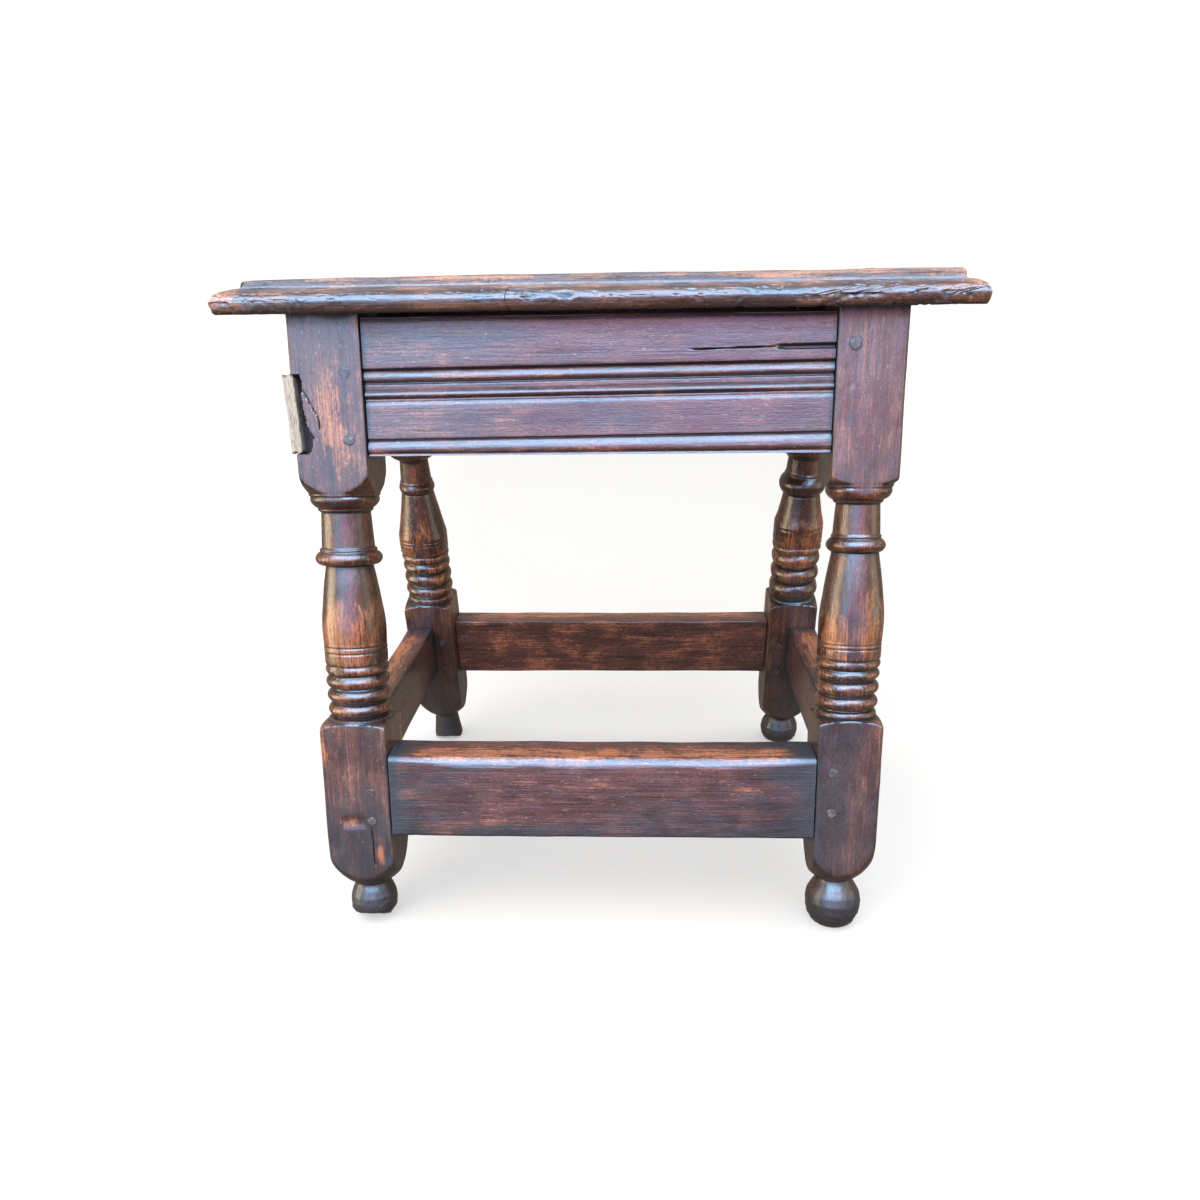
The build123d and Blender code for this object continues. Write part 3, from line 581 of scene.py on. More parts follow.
# The narrowest place over each foot, as (height, radius), and how far the block spreads above it.
ANKLE_SPREAD = 40.0
ANKLES = {
    "leg_front_left": (34.0, 12.9), "leg_front_right": (40.0, 12.9),
    "leg_back_left": (35.5, 11.5), "leg_back_right": (33.0, 12.9),
}
PATTERN_STEP = 0.1
REED_GROOVE = 1.2
BLOCK_CORNER = 0.75  # a radius past the square's corners, as a share of its side
OVER_THE_HEAD = 9.0  # how far the pattern runs on past the leg's sloping head


def swell(low, high, side, out):
    """A round moulding between two heights, standing out this far at its middle."""
    t = np.linspace(0, 1, 17)
    return [(low + (high - low) * s, side + out * math.sin(math.pi * s) ** 0.75) for s in t]


def flare(low, high, narrow, wide, level_at):
    """A quarter-round from narrow to wide that is level where it meets the narrow end."""
    a = np.linspace(0, np.pi / 2, 15)
    tall, spread = high - low, wide - narrow
    if level_at == "low":
        return [(high - tall * math.cos(t), narrow + spread * math.sin(t) ** 1.5) for t in a]
    return [(low + tall * math.sin(t), narrow + spread * math.cos(t)) for t in a]


def turned_pattern(name):
    """Heights a tenth of a millimetre apart up the leg, and the turning's radius at each."""
    leg = LEGS[name]
    half = leg["block"] / 2
    corner = leg["block"] * BLOCK_CORNER
    ankle, ankle_r = ANKLES[name]
    line = list(FEET[name])
    line += flare(ankle, ankle + ANKLE_SPREAD, ankle_r, corner, "low")

    # the shoulder of the lower block, its fillet with a thin line in it, and the reeds
    base, rise = leg["base"], leg["base_rise"]
    line += flare(base - 8.5, base, half - 0.5, corner, "high")
    line += [(base + 0.2, half - 1.4), (base + 0.7, half - 1.5), (base + 0.9, half - 0.5)]
    line += [(base + 0.55 * rise, half - 0.4), (base + rise - 0.6, half - 1.2)]
    line += [(base + rise, half - 2.0)]
    height = base + rise
    for reed, side, out in leg["reeds"]:
        line += [(height + 0.1, side - 0.9), (height + REED_GROOVE - 0.1, side - 0.9)]
        height += REED_GROOVE
        line += swell(height, height + reed, side, out)
        height += reed
    drum = leg["drum"]
    line += [(height + 0.2, drum - 0.7), (height + 0.9, drum - 0.8), (height + 1.1, drum)]
    for cut in leg["cuts"]:
        line += [(height + cut - 0.1, drum + 0.1), (height + cut + 0.3, drum - 1.5)]
        line += [(height + cut + 0.7, drum + 0.1)]

    # the vase, the ring with a fillet over it, and the neck
    swelling = height + leg["cuts"][-1] + 2.5
    ring_low, ring_high = leg["ring"] - leg["ring_half"], leg["ring"] + leg["ring_half"]
    for t in np.linspace(0, 1, 20):
        hump = 0.7 * math.sin(math.pi * t) + 0.3 * math.sin(math.pi * min(2 * t, 1))
        radius = drum + (leg["vase_top"] - drum) * t + leg["vase_out"] * hump
        line += [(swelling + (ring_low - 0.6 - swelling) * t, radius)]
    side = leg["ring_r"] - leg["ring_out"]
    line += [(ring_low - 0.4, leg["vase_top"] - 0.8)]
    line += swell(ring_low, ring_high, side, leg["ring_out"])
    line += [(ring_high + 0.3, side - 0.7), (ring_high + 0.7, side + 0.2)]
    line += [(ring_high + 2.2, side + 0.1), (ring_high + 2.5, leg["neck"] + 1.4)]

    # the thin fillet, the rounded band and the shoulder under the upper block
    foot, steep = leg["foot"], leg["steep"]
    band, fillet = half + leg["band"][0], half + leg["band"][1]
    band_low, band_high = foot - 9.6, foot - 2.4
    line += [(band_low - 2.4, leg["neck"]), (band_low - 2.1, leg["neck"] + 1.9)]
    line += [(band_low - 0.2, leg["neck"] + 2.0)]
    line += [(band_low, band - 5.0), (band_low + 1.0, band - 3.2), (band_low + 3.0, band - 1.3)]
    line += [(band_low + 5.0, band - 0.2), (band_high, band), (band_high + 0.2, fillet - 1.6)]
    line += [(band_high + 0.8, fillet - 1.6), (band_high + 1.0, fillet - 0.2), (foot + 0.8, fillet)]
    line += [(foot + 0.8 + 1.6 * steep, fillet + 1.6), (foot + 0.8 + 5.4 * steep, fillet + 5.2)]
    line += [(foot + 0.8 + 12.0 * steep, fillet + 9.2), (foot + 22.0, corner + 2)]
    line += [(LEG_LENGTH + OVER_THE_HEAD, corner + 2)]
    heights, radii = np.array(line, float).T
    even = np.arange(0, LEG_LENGTH + OVER_THE_HEAD, PATTERN_STEP)
    return even, soften(np.interp(even, heights, radii), 0.30, PATTERN_STEP)


def cut_heights(leg):
    """How far up the leg its two cut lines are."""
    reeds_end = leg["base"] + leg["base_rise"] + sum(REED_GROOVE + reed[0] for reed in leg["reeds"])
    return [reeds_end + cut + 0.3 for cut in leg["cuts"]]


for leg_name in LEGS:
    heights, radii = turned_pattern(leg_name)
    turned = radii[(heights > 205) & (heights < 300)]
    print(leg_name, "radii of the vase and ring:", turned.min().round(1), "to", turned.max().round(1))

# %% [markdown]
# ## Turning a square leg
# The blank is square, and where the turner cut it is round. At each height the outline is
# whichever is smaller, the turning or the square, so the flat faces end in the same curved
# shoulders that a lathe leaves. The outline has more points near the arrises, which wear rounds
# off, and wherever a leg is split.

# %% Outline of a leg
ROUND_SIDES = ((0, -1), (1, 0), (0, 1), (-1, 0))
POINTS_ON_A_SIDE = 40


def outline_angles(block, extra_front):
    """Directions round the square blank, closer together near its arrises and its splits."""
    w = np.linspace(-1, 1, POINTS_ON_A_SIDE + 1)[:-1]
    even = 0.45 * w + 0.55 * np.sin(np.pi / 2 * w)
    angles = []
    for face_x, face_y in ROUND_SIDES:
        along = even
        if face_y == -1 and len(extra_front):
            along = np.unique(np.concatenate([even, np.array(extra_front) / (block / 2)]))
            along = along[np.diff(along, append=2) > 0.012]
        angles += [math.atan2(face_y + s * face_x, face_x - s * face_y) for s in along]
    return np.unwrap(np.array(angles))


def square_reach(angle, half, round_off):
    """Distance from the leg's axis to its square outline with rounded arrises."""
    c, s = np.abs(np.cos(angle)), np.abs(np.sin(angle))
    flat = half / np.maximum(c, s)
    middle = half - round_off
    d = middle * (c + s)
    curved = d + np.sqrt(np.maximum(d * d - 2 * middle * middle + round_off * round_off, 0))
    return np.where(np.minimum(c, s) * flat > middle, curved, flat)


# %% [markdown]
# ## Knocks, splits and lost chips
# Every hollow is really cut into the mesh, so that its walls catch the light. A dent is a
# shallow bowl, a split is a narrow slot that follows the grain, and beside the repair slip the
# wood has broken away in a ragged hollow. All are pushed in from the face they are in.

# %% Damage
def dents(x, y, z, seed, count, span, deepest):
    """Shallow bowls scattered over a piece; span is its (low, high) along x, y and z."""
    dice = np.random.default_rng(seed)
    depth = np.zeros(np.broadcast(x, y, z).shape)
    for _ in range(count):
        cx, cy, cz = (dice.uniform(low, high) for low, high in span)
        size, tall = dice.uniform(1.0, 4.0), dice.uniform(0.8, 2.4)
        strength = deepest * dice.uniform(0.3, 1.0)
        far = (x - cx) ** 2 + (y - cy) ** 2 + ((z - cz) / tall) ** 2
        depth += strength * np.exp(-far / size**2)
    return depth


def slot(across, along, path, width, depth):
    """A split along a path of (along, across) points; its walls are steep."""
    points = np.array(path, float)
    middle = np.interp(along, points[:, 0], points[:, 1])
    fade = 0.15 * (points[-1, 0] - points[0, 0])
    ends = ease(along, points[0, 0], points[0, 0] + fade)
    ends = ends * ease(-along, -points[-1, 0], -points[-1, 0] + fade)
    return depth * ends * np.clip(1.6 * (1 - np.abs(across - middle) / width), 0, 1)


# Two feet have lost their front edge: how high the worn toe is above the floor at the block's
# face, and how fast it comes down behind that.
TOES = {"leg_front_left": (16.6, 0.7), "leg_back_left": (8.0, 0.45)}
# Edge of the hollow beside the slip, as heights and places across the block; wood is lost to
# the left of it, down to this depth.
HOLLOW_EDGE = [
    (351.7, -14.7), (354.7, -13.0), (358.6, -12.0), (362.6, -11.7), (364.5, -13.4),
    (369.5, -15.2), (374.4, -16.0), (379.3, -16.8), (384.3, -17.6), (390.2, -17.4),
    (394, -17.0), (398, -16.6), (400.5, -18.0),
]
HOLLOW_DEPTH = 11.0
# The split that runs down from the top of the hollow, a hooked mark high on the block, and the
# split in the lower block, in the same measurements.
SPLIT_BESIDE_HOLLOW = [
    (364, -6.5), (371.4, -6.6), (375.4, -7.7), (378.3, -9.5), (383.3, -11.7),
    (387.7, -14.0), (391.2, -16.3), (399, -19.0),
]
HOOKED_MARK = [(418.8, 12.2), (421.0, 11.9), (423.5, 9.5), (425.4, 5.8)]
LOWER_SPLIT = [(52, 10.6), (62, 9.8), (72, 9.9), (85, 9.2)]


def front_left_damage(x, z, front):
    """The hollow beside the slip, two splits, a hooked mark, a scar and a chewed corner."""
    ragged = 0.35 * np.sin(z * 2.3) + 0.25 * np.sin(z * 5.1)
    edge = np.interp(z, *np.array(HOLLOW_EDGE, float).T) + ragged
    tall = ease(z, 350.5, 352.0) * ease(-z, -401.2, -399.8)
    depth = HOLLOW_DEPTH * tall * ease(edge - x, -0.4, 0.5)
    depth = depth + slot(x, z, SPLIT_BESIDE_HOLLOW, width=0.5, depth=1.5)
    depth = depth + slot(x, z, HOOKED_MARK, width=0.6, depth=0.5)
    depth = depth + slot(x, z, LOWER_SPLIT, width=0.5, depth=2.0)
    scar = ease(z, 84.5, 86.0) * ease(-z, -93.0, -91.5) * ease(x, -13, -11) * ease(-x, -6, -4)
    chewed = bell(z, 60, 11) * bell(x, 21, 3.0)
    return front * (depth + 0.8 * scar + 2.0 * chewed)


# %% [markdown]
# ## Grime, painted shade and rubbing on a leg
# Grime gathers in the hollows of the turning, against the rails and down at the foot, and a painted
# shadow darkens the head of each leg under the seat. Hands and shoes rub the arrises, the ring, the
# reeds and the swelling of the vase. A few places are rubbed more than others, and those are listed.

# %% Where a leg is dirty, painted with shade, and rubbed
# Rails as they meet the legs: their lower and upper edges and their near and far sides.
RAIL_ENDS = {
    ("frieze", "front"): (349.1, 435.7, 2.0, 24.0),
    ("frieze", "back"): (349.1, 435.7, 2.0, 24.0),
    ("frieze", "side"): (344.5, 430.0, 2.0, 24.0),
    ("stretcher", "front"): (77.5, 137.5, 0.5, 30.5),
    ("stretcher", "back"): (83.6, 141.6, 0.5, 30.5),
    ("stretcher", "side"): (88.0, 138.0, 0.5, 25.5),
}
# Rubbed spots as (x, y, z, half width, half height, strength), from the leg's own axis.
RUBBED_DEEP = 9.0  # their half size from front to back
RUBBED_SPOTS = {
    "leg_front_left": [
        (1, -24, 378, 9, 27, 0.95), (4, -24, 350, 10, 14, 0.7), (-3, -22, 226, 17, 30, 0.55),
        (14.5, -24, 61, 3.2, 10, 0.9), (-22, -22, 140, 3, 12, 0.7), (-8, -24, 120, 14, 26, 0.10),
        (-4, -24, 88.5, 8, 3.5, 1.2),
    ],
    "leg_front_right": [
        (-2, -21, 226, 14, 20, 0.35), (14, -22, 130, 6, 30, 0.35), (0, -22, 360, 16, 30, 0.22),
    ],
    "leg_back_left": [(0, 20, 236, 14, 24, 0.4), (-12, -18, 210, 12, 30, 0.3)],
    "leg_back_right": [(0, 20, 236, 14, 24, 0.4), (-12, -18, 230, 12, 30, 0.3)],
}


def gap_to_box(places, low, high):
    """Distance from places to a box, all measured in the same three directions."""
    total = 0
    for value, small, large in zip(places, low, high):
        total = total + np.maximum(np.maximum(small - value, value - large), 0) ** 2
    return np.sqrt(total)


DIRT_REACH = 3.2  # how far the dirt beside a rail spreads on the leg
FAR_AWAY = 200.0


def joint_grime(x, y, z, half, face, towards):
    """Dirt along the two rails of each kind that meet a leg; towards is the rails' side in x."""
    grime_and_shade = 0
    for kind in ("frieze", "stretcher"):
        low, high, near, deep = RAIL_ENDS[kind, face]
        gap = gap_to_box((towards * x, y + half, z), (half, near, low), (FAR_AWAY, deep, high))
        grime_and_shade = np.maximum(grime_and_shade, bell(gap, 0, DIRT_REACH))
        low, high, near, deep = RAIL_ENDS[kind, "side"]
        outer = half + towards * x
        gap = gap_to_box((y, outer, z), (half, near, low), (FAR_AWAY, deep, high))
        grime_and_shade = np.maximum(grime_and_shade, bell(gap, 0, DIRT_REACH))
    return grime_and_shade


# %% [markdown]
# ## Where the pegs are
# Two pegs lock each tenon. The joiner bored the hole in the tenon a little nearer the shoulder
# than the hole in the leg, so the tapered peg drew the joint tight. The pegs were placed by eye:
# each is listed with its leg, its height above the floor, how far it stands out and its radius.

# %% The pegs
PEG_FROM_SHOULDER = 11.5
# (leg, height, proud, radius) of each peg, by the node that holds it.
PEGS = {
    "pegs_frieze_front": [
        ("leg_front_left", 355.0, 0.30, 3.7), ("leg_front_left", 397.0, 0.15, 3.6),
        ("leg_front_right", 364.0, -0.5, 2.9), ("leg_front_right", 411.0, 0.75, 3.9),
    ],
    "pegs_frieze_back": [
        ("leg_back_left", 361.0, 0.4, 3.7), ("leg_back_left", 404.0, 0.6, 3.6),
        ("leg_back_right", 359.0, 0.2, 3.8), ("leg_back_right", 407.0, 0.5, 3.6),
    ],
    "pegs_frieze_left": [
        ("leg_front_left", 363.0, 0.5, 3.7), ("leg_front_left", 409.0, 0.3, 3.8),
        ("leg_back_left", 367.0, 0.6, 3.6), ("leg_back_left", 408.0, 0.4, 3.7),
    ],
    "pegs_frieze_right": [
        ("leg_front_right", 358.0, 0.4, 3.6), ("leg_front_right", 402.0, 0.6, 3.8),
        ("leg_back_right", 366.0, 0.3, 3.7), ("leg_back_right", 410.0, 0.5, 3.7),
    ],
    "pegs_stretcher_front": [
        ("leg_front_left", 88.0, 0.2, 3.4), ("leg_front_left", 109.5, 0.3, 3.6),
        ("leg_front_right", 96.5, 0.25, 3.6), ("leg_front_right", 126.5, 0.3, 3.7),
    ],
    "pegs_stretcher_back": [
        ("leg_back_left", 100.0, 0.5, 3.6), ("leg_back_left", 129.0, 0.4, 3.7),
        ("leg_back_right", 97.0, 0.3, 3.8), ("leg_back_right", 125.0, 0.6, 3.6),
    ],
    "pegs_stretcher_left": [
        ("leg_front_left", 101.0, 0.4, 3.7), ("leg_front_left", 124.0, 0.5, 3.6),
        ("leg_back_left", 100.0, 0.3, 3.6), ("leg_back_left", 126.0, 0.6, 3.8),
    ],
    "pegs_stretcher_right": [
        ("leg_front_right", 102.0, 0.5, 3.7), ("leg_front_right", 125.0, 0.4, 3.7),
        ("leg_back_right", 99.0, 0.6, 3.6), ("leg_back_right", 123.0, 0.3, 3.8),
    ],
}
# Pegs that were bored farther from the shoulder than the rest.
FARTHER_IN = {("pegs_stretcher_front", "leg_front_left"): 2.4}


def peg_spot(node, leg_name, height):
    """A peg's face, and where it sits along and up that face."""
    leg, where = LEGS[leg_name], node.split("_")[-1]
    if where in ("front", "back"):
        on_face = leg["side"] if where == "front" else -leg["side"]
        from_shoulder = PEG_FROM_SHOULDER + FARTHER_IN.get((node, leg_name), 0.0)
        return where, on_face * (LEG_SPAN / 2 - leg["block"] + from_shoulder), height / UPRIGHT
    out = -1 if leg["face"] == "front" else 1
    reach = FLOOR_SPAN / 2 - leg["block"] / UPRIGHT - height * LEAN / UPRIGHT + PEG_FROM_SHOULDER
    return where, out * leg["side"] * reach, height


def on_the_face(where, along, up, inward=0.0):
    """Where one measurement on a face lies in the room."""
    return FACES[where].place(np.array(along), np.array(inward), np.array(up))


def peg_grime(leg_name, grid):
    """Dark rings round the pegs of a leg, with a dirty patch round each."""
    grime_and_shade = 0
    for node, pegs in PEGS.items():
        for owner, height, _proud, radius in pegs:
            if owner == leg_name:
                far = np.linalg.norm(grid - on_the_face(*peg_spot(node, owner, height)), axis=-1)
                grime_and_shade = np.maximum(grime_and_shade, bell(far, radius + 0.3, 0.8))
                grime_and_shade = np.maximum(grime_and_shade, 0.5 * bell(far, 0, 7.0))
    return grime_and_shade


# %% [markdown]
# ## Building the four legs
# Each leg is a grid of outlines round its own axis, closest together where the mouldings are. The
# foot is cut off level so that it stands flat on the floor, and the head so that it meets the
# level seat.

# %% Legs
LEG_ROWS = spaced(
    (0, 42, 0.9), (42, 66, 1.5), (66, 148, 2.2), (148, 238, 0.54), (238, 268, 1.2),
    (268, 345, 0.54), (345, 400, 1.1), (400, LEG_LENGTH + 8.4, 1.8),
)
# Extra places across the front left leg, over its hollow and its lower split.
FINER_ACROSS = np.concatenate([np.arange(-21, -5.8, 0.42), np.arange(5.2, 12.9, 0.6)])
# The flat that wear has left on that leg's topmost reed: its place up and across, and its radius.
FLAT_REED_UP, FLAT_REED_ACROSS, FLAT_REED_RADIUS = 200.6, -11.0, 22.2


def leg_axis(name):
    """Where a leg's axis lies along its face, and in which direction its rails lie from it."""
    leg = LEGS[name]
    on_face = leg["side"] if leg["face"] == "front" else -leg["side"]
    return on_face * (LEG_SPAN / 2 - leg["block"] / 2), -on_face


def leg_grid(name):
    """Outlines of a leg before wear: offsets from its axis, how square it is and how hollow."""
    leg = LEGS[name]
    half = leg["block"] / 2
    extra = FINER_ACROSS if name == "leg_front_left" else []
    angle = outline_angles(leg["block"], extra)[None, :]
    heights, pattern = turned_pattern(name)
    up = ease(LEG_ROWS, 20, 320)[:, None]
    at_foot, at_head = np.array(leg["drift"], float)
    drift_x, drift_y = (at_foot[i] + (at_head[i] - at_foot[i]) * up for i in (0, 1))
    if leg["face"] == "back":
        drift_x = -drift_x
    turned = np.interp(LEG_ROWS, heights, pattern)[:, None]
    turned = turned + drift_x * np.cos(angle) + drift_y * np.sin(angle)
    around = np.broadcast_arrays(np.cos(angle) * 30, np.sin(angle) * 30, LEG_ROWS[:, None])
    spot = np.stack(around, -1)
    round_off = 1.6 + 1.0 * waver(spot, (9, 9, 24), leg["seed"])
    round_off = round_off + 0.8 * ease(-LEG_ROWS, -80, -50)[:, None]
    square = square_reach(angle, half, np.maximum(round_off, 0.6))
    if name == "leg_front_left":
        flat_top = bell(spot[..., 2], FLAT_REED_UP, 4.4) * bell(spot[..., 0], FLAT_REED_ACROSS, 5.0)
        flat_top = np.clip(1.4 * flat_top * (angle < 0), 0, 1)
        turned = turned + (FLAT_REED_RADIUS - turned) * flat_top
    gap = turned - square
    radius = 0.5 * (turned + square - np.sqrt(gap * gap + 1.0))
    blocky = ease(gap, -0.4, 0.8)
    x, y = radius * np.cos(angle), radius * np.sin(angle)
    slope = (half + y) * LEAN / UPRIGHT
    z = np.clip(LEG_ROWS[:, None], slope, LEG_LENGTH + slope)
    sunk = soften(pattern, 2.2, PATTERN_STEP) - pattern
    hollow = np.interp(LEG_ROWS, heights, sunk)[:, None] + 0 * angle
    if name == "leg_front_left":
        hollow = hollow * (1 - flat_top)
    return x, y, z, blocky, hollow


def worn_leg(name, x, y, z):
    """A leg's outlines in the room after wear and damage, and how deep the damage is."""
    leg = LEGS[name]
    half, seed = leg["block"] / 2, leg["seed"]
    face = FACES[leg["face"]]
    spot = np.stack([x, y, z], -1)
    grid = face.place(leg_axis(name)[0] + x, half + y, z)

    push = 0.20 * waver(spot, (15, 15, 34), seed + 1)
    push = push + 0.07 * roughen(spot, (4, 4, 12), seed + 2) - 0.12
    knocks = ((-half, half), (-half, half), (8, LEG_LENGTH))
    push = push - dents(x, y, z, seed, 70, knocks, 0.45)
    push = push - 0.5 * ease(-z, -30, -10) * np.abs(roughen(spot, 5.0, seed + 9))
    slope = (half + y) * LEAN / UPRIGHT
    still = ease(z - slope, 0.2, 3) * ease(LEG_LENGTH + slope - z, 0.2, 3)
    grid = grid + (np.minimum(push, 0.05) * still)[..., None] * outward(grid)
    front = ease(-y, half * 0.55, half * 0.9)
    cut = np.zeros(z.shape)
    if name == "leg_front_left":
        cut = front_left_damage(x, z, front)
        grid = grid + cut[..., None] * face.inward
    if name in TOES:
        toe, fall = TOES[name]
        lost = toe - fall * (y + half if leg["face"] == "front" else half - y)
        lost = np.clip(lost + 0.5 * roughen(spot, 6.0, seed + 15), 0, None)
        lift = np.maximum(lost - (z - slope), 0)
        grid = grid + lift[..., None] * np.array([0, 0, 1.0])
    if name == "leg_front_right":
        broken = ease(x, 11.0, 13.0) * ease(-z, -11.5, -9.5) * np.maximum(x - 11.5, 0)
        grid = grid - (broken * (0.9 + 0.2 * roughen(spot, 3.0, 77)))[..., None] * face.along
    return grid, cut


def make_leg(name):
    """One leg, from its pattern, wear and damage."""
    leg = LEGS[name]
    half, seed = leg["block"] / 2, leg["seed"]
    x, y, z, blocky, hollow = leg_grid(name)
    grid, cut = worn_leg(name, x, y, z)
    spot = np.stack([x, y, z], -1)

    round_part = 1 - blocky
    grime_and_shade = 0.95 * round_part * ease(hollow, 0.06, 0.9)
    for height in cut_heights(leg):
        grime_and_shade = np.maximum(grime_and_shade, 0.95 * bell(z, height, 0.5))
    towards = leg_axis(name)[1]
    grime_and_shade = np.maximum(grime_and_shade, 0.85 * joint_grime(x, y, z, half, leg["face"], towards))
    # Painted shadow: the head of the leg is darkened where the seat shades it.
    grime_and_shade = np.maximum(grime_and_shade, 0.8 * bell(z, LEG_LENGTH, 5.0))
    grime_and_shade = np.maximum(grime_and_shade, 1.2 * ease(-z, -38, -24))
    grime_and_shade = np.maximum(grime_and_shade, 0.60 * ease(-z, -165, -80))
    grime_and_shade = np.maximum(grime_and_shade, 0.22 + 0.3 * waver(spot, (14, 14, 40), seed + 5))
    # On the front right leg the square parts are darker, up to the lower part of the upper block.
    if name == "leg_front_right":
        grime_and_shade = np.maximum(grime_and_shade, 0.55 * ease(-z, -388, -340) * blocky)
    grime_and_shade = np.maximum(grime_and_shade, peg_grime(name, grid))
    grime_and_shade = np.maximum(grime_and_shade, ease(cut, 0.5, 2.0))

    near_arris = np.minimum(half - np.abs(x), half - np.abs(y))
    arris = ease(np.hypot(x, y) / half, 1.22, 1.34) * blocky
    vase = bell(z, 228, 30) * round_part
    rubbed_and_painted_light = 0.28 * arris + 0.26 * round_part * ease(-hollow, 0.05, 0.5) + 0.52 * vase
    for cx, cy, cz, wide, tall, strength in RUBBED_SPOTS[name]:
        far = ((x - cx) / wide) ** 2 + ((y - cy) / RUBBED_DEEP) ** 2 + ((z - cz) / tall) ** 2
        far = np.maximum(far + 0.55 * roughen(spot, (5, 5, 11), seed + 19), 0)
        rubbed_and_painted_light = rubbed_and_painted_light + strength * np.exp(-far * far)
        grime_and_shade = grime_and_shade * (1 - 0.8 * min(strength, 1) * np.exp(-far))
    rubbed_and_painted_light = rubbed_and_painted_light * (1 - ease(cut, 0.3, 1.5)) * (0.85 + 0.15 * ease(near_arris, 0, 4))
    dull = 0.25 * blocky + 0.15 * ease(-z, -60, -20) + 0.25 * ease(-z, -150, -110) + ease(cut, 0.5, 2)
    grain = np.stack([z, x + 60 * seed, y], -1)
    looks = traits_of(grain, grime_and_shade, rubbed_and_painted_light, dull)
    return make_piece(name + "_turned", [(grid, looks)], name, leg_oak)


for leg_name in LEGS:
    make_leg(leg_name)

# %% [markdown]
# ## Rails between the legs
# A rail is one outline drawn across the wood, repeated from shoulder to shoulder. The shoulders
# stop a hair short of the legs, because the oak has shrunk, and beyond them a thinner tenon runs
# on into the mortise. The legs splay, so the side rails end on a slope.

# %% Where rails start and stop
RAIL_LEGS = {
    "front": ("leg_front_left", "leg_front_right"),
    "back": ("leg_back_right", "leg_back_left"),
    "left": ("leg_back_left", "leg_front_left"),
    "right": ("leg_front_right", "leg_back_right"),
}
SHOULDER_GAP = 0.55
TENON = (11.0, 20.0)  # from the leg's face to the tenon's near and far cheeks
TENON_REACH = 18.0


def rail_span(where, z):
    """Where a rail's shoulders are along its face, at heights z."""
    start, stop = (LEGS[name]["block"] for name in RAIL_LEGS[where])
    if where in ("front", "back"):
        return start - LEG_SPAN / 2 + 0 * z, LEG_SPAN / 2 - stop + 0 * z
    reach = FLOOR_SPAN / 2 - z * LEAN / UPRIGHT
    return start / UPRIGHT - reach, reach - stop / UPRIGHT


def rail_grid(where, t, y, z, tenon):
    """Lays sections out between the shoulders and adds a tenon at both ends."""
    start, stop = rail_span(where, z)
    start, stop = start + SHOULDER_GAP, stop - SHOULDER_GAP
    x = start + (stop - start) * t[:, None]
    thin_y = np.clip(y[[0, -1]], *TENON)
    thin_z = np.clip(z[[0, -1]], *tenon)
    head, tail = x[:1], x[-1:]
    x = np.concatenate([head - TENON_REACH, head, x, tail, tail + TENON_REACH])
    y = np.concatenate([thin_y[:1], thin_y[:1], y, thin_y[1:], thin_y[1:]])
    z = np.concatenate([thin_z[:1], thin_z[:1], z, thin_z[1:], thin_z[1:]])
    return x, y, z


def stations(length, step):
    """Fractions along a rail, with two more close to each shoulder."""
    inside = np.linspace(0, 1, int(length / step))[1:-1]
    near = np.array([0.0, 0.3, 0.9]) / length
    clear = 1.5 * near[-1]
    inside = inside[(inside > clear) & (inside < 1 - clear)]
    return np.concatenate([near, inside, 1 - near[::-1]])


def for_body(values):
    """Repeats the first and last rows, for the two rows of tenon at each end."""
    return np.concatenate([values[:1], values[:1], values, values[-1:], values[-1:]])


# %% [markdown]
# ## The frieze moulding
# The mouldings under the seat were run along the rail with a scratch stock, a scraper filed to
# the pattern and drawn by hand: a bead at the bottom edge, a flat field, a bead, a sunk band and
# another bead, each between narrow quirks. `FRIEZE_MOULDING` is that scraper's outline, as
# heights up the rail and depths in from its face.

# %% The frieze moulding
def bead(low, high, depth, crown):
    """A bead between two heights, as (height, depth); its upper side is the flatter one."""
    share = np.linspace(0, 1, 17)
    round_over = np.sin(np.pi * share**0.66) ** 0.8
    return list(zip(low + (high - low) * share, depth - (depth - crown) * round_over))


FRIEZE_MOULDING = [
    (0.0, 1.5), (0.8, 1.6), *bead(1.6, 9.2, 2.4, 0.4), (9.5, 3.3), (10.5, 3.4), (10.8, 1.6),
    (32.7, 1.6), (33.9, 2.5), (34.4, 2.3), (35.6, 2.2), (35.9, 2.9), *bead(36.4, 41.4, 2.6, 0.4),
    (41.8, 2.3), (44.8, 2.2), (45.2, 3.4), (46.3, 3.4), *bead(46.5, 53.4, 2.4, 0.4),
    (53.6, 3.5), (54.5, 3.5), (54.9, 0.1), (60, 0), (84, 0), (85.5, 0.5),
]
even_heights = np.arange(0, 85.51, PATTERN_STEP)
moulding = np.interp(even_heights, *np.array(FRIEZE_MOULDING).T)
moulding = soften(moulding, 0.16, PATTERN_STEP)
moulding_hollow = moulding - soften(moulding, 2.0, PATTERN_STEP)
print("deepest quirk:", round(float(moulding.max()), 2), "mm")

# %% [markdown]
# ## Making the frieze rails
# On the front rail the mouldings climb nearly three millimetres from left to right, because the
# scraper was worked along a board that wasn't quite square. It also has a long split in its
# upper field, a hairline that opens out towards the right-hand leg.

# %% Frieze rails
HAIRLINE = [(60, 62.3), (85, 62.6), (108, 62.9), (121, 63.3)]  # (along, up) from the rail's middle
FRIEZE_RISE = {"front": 2.8, "back": -0.9, "left": 0.5, "right": -0.6}
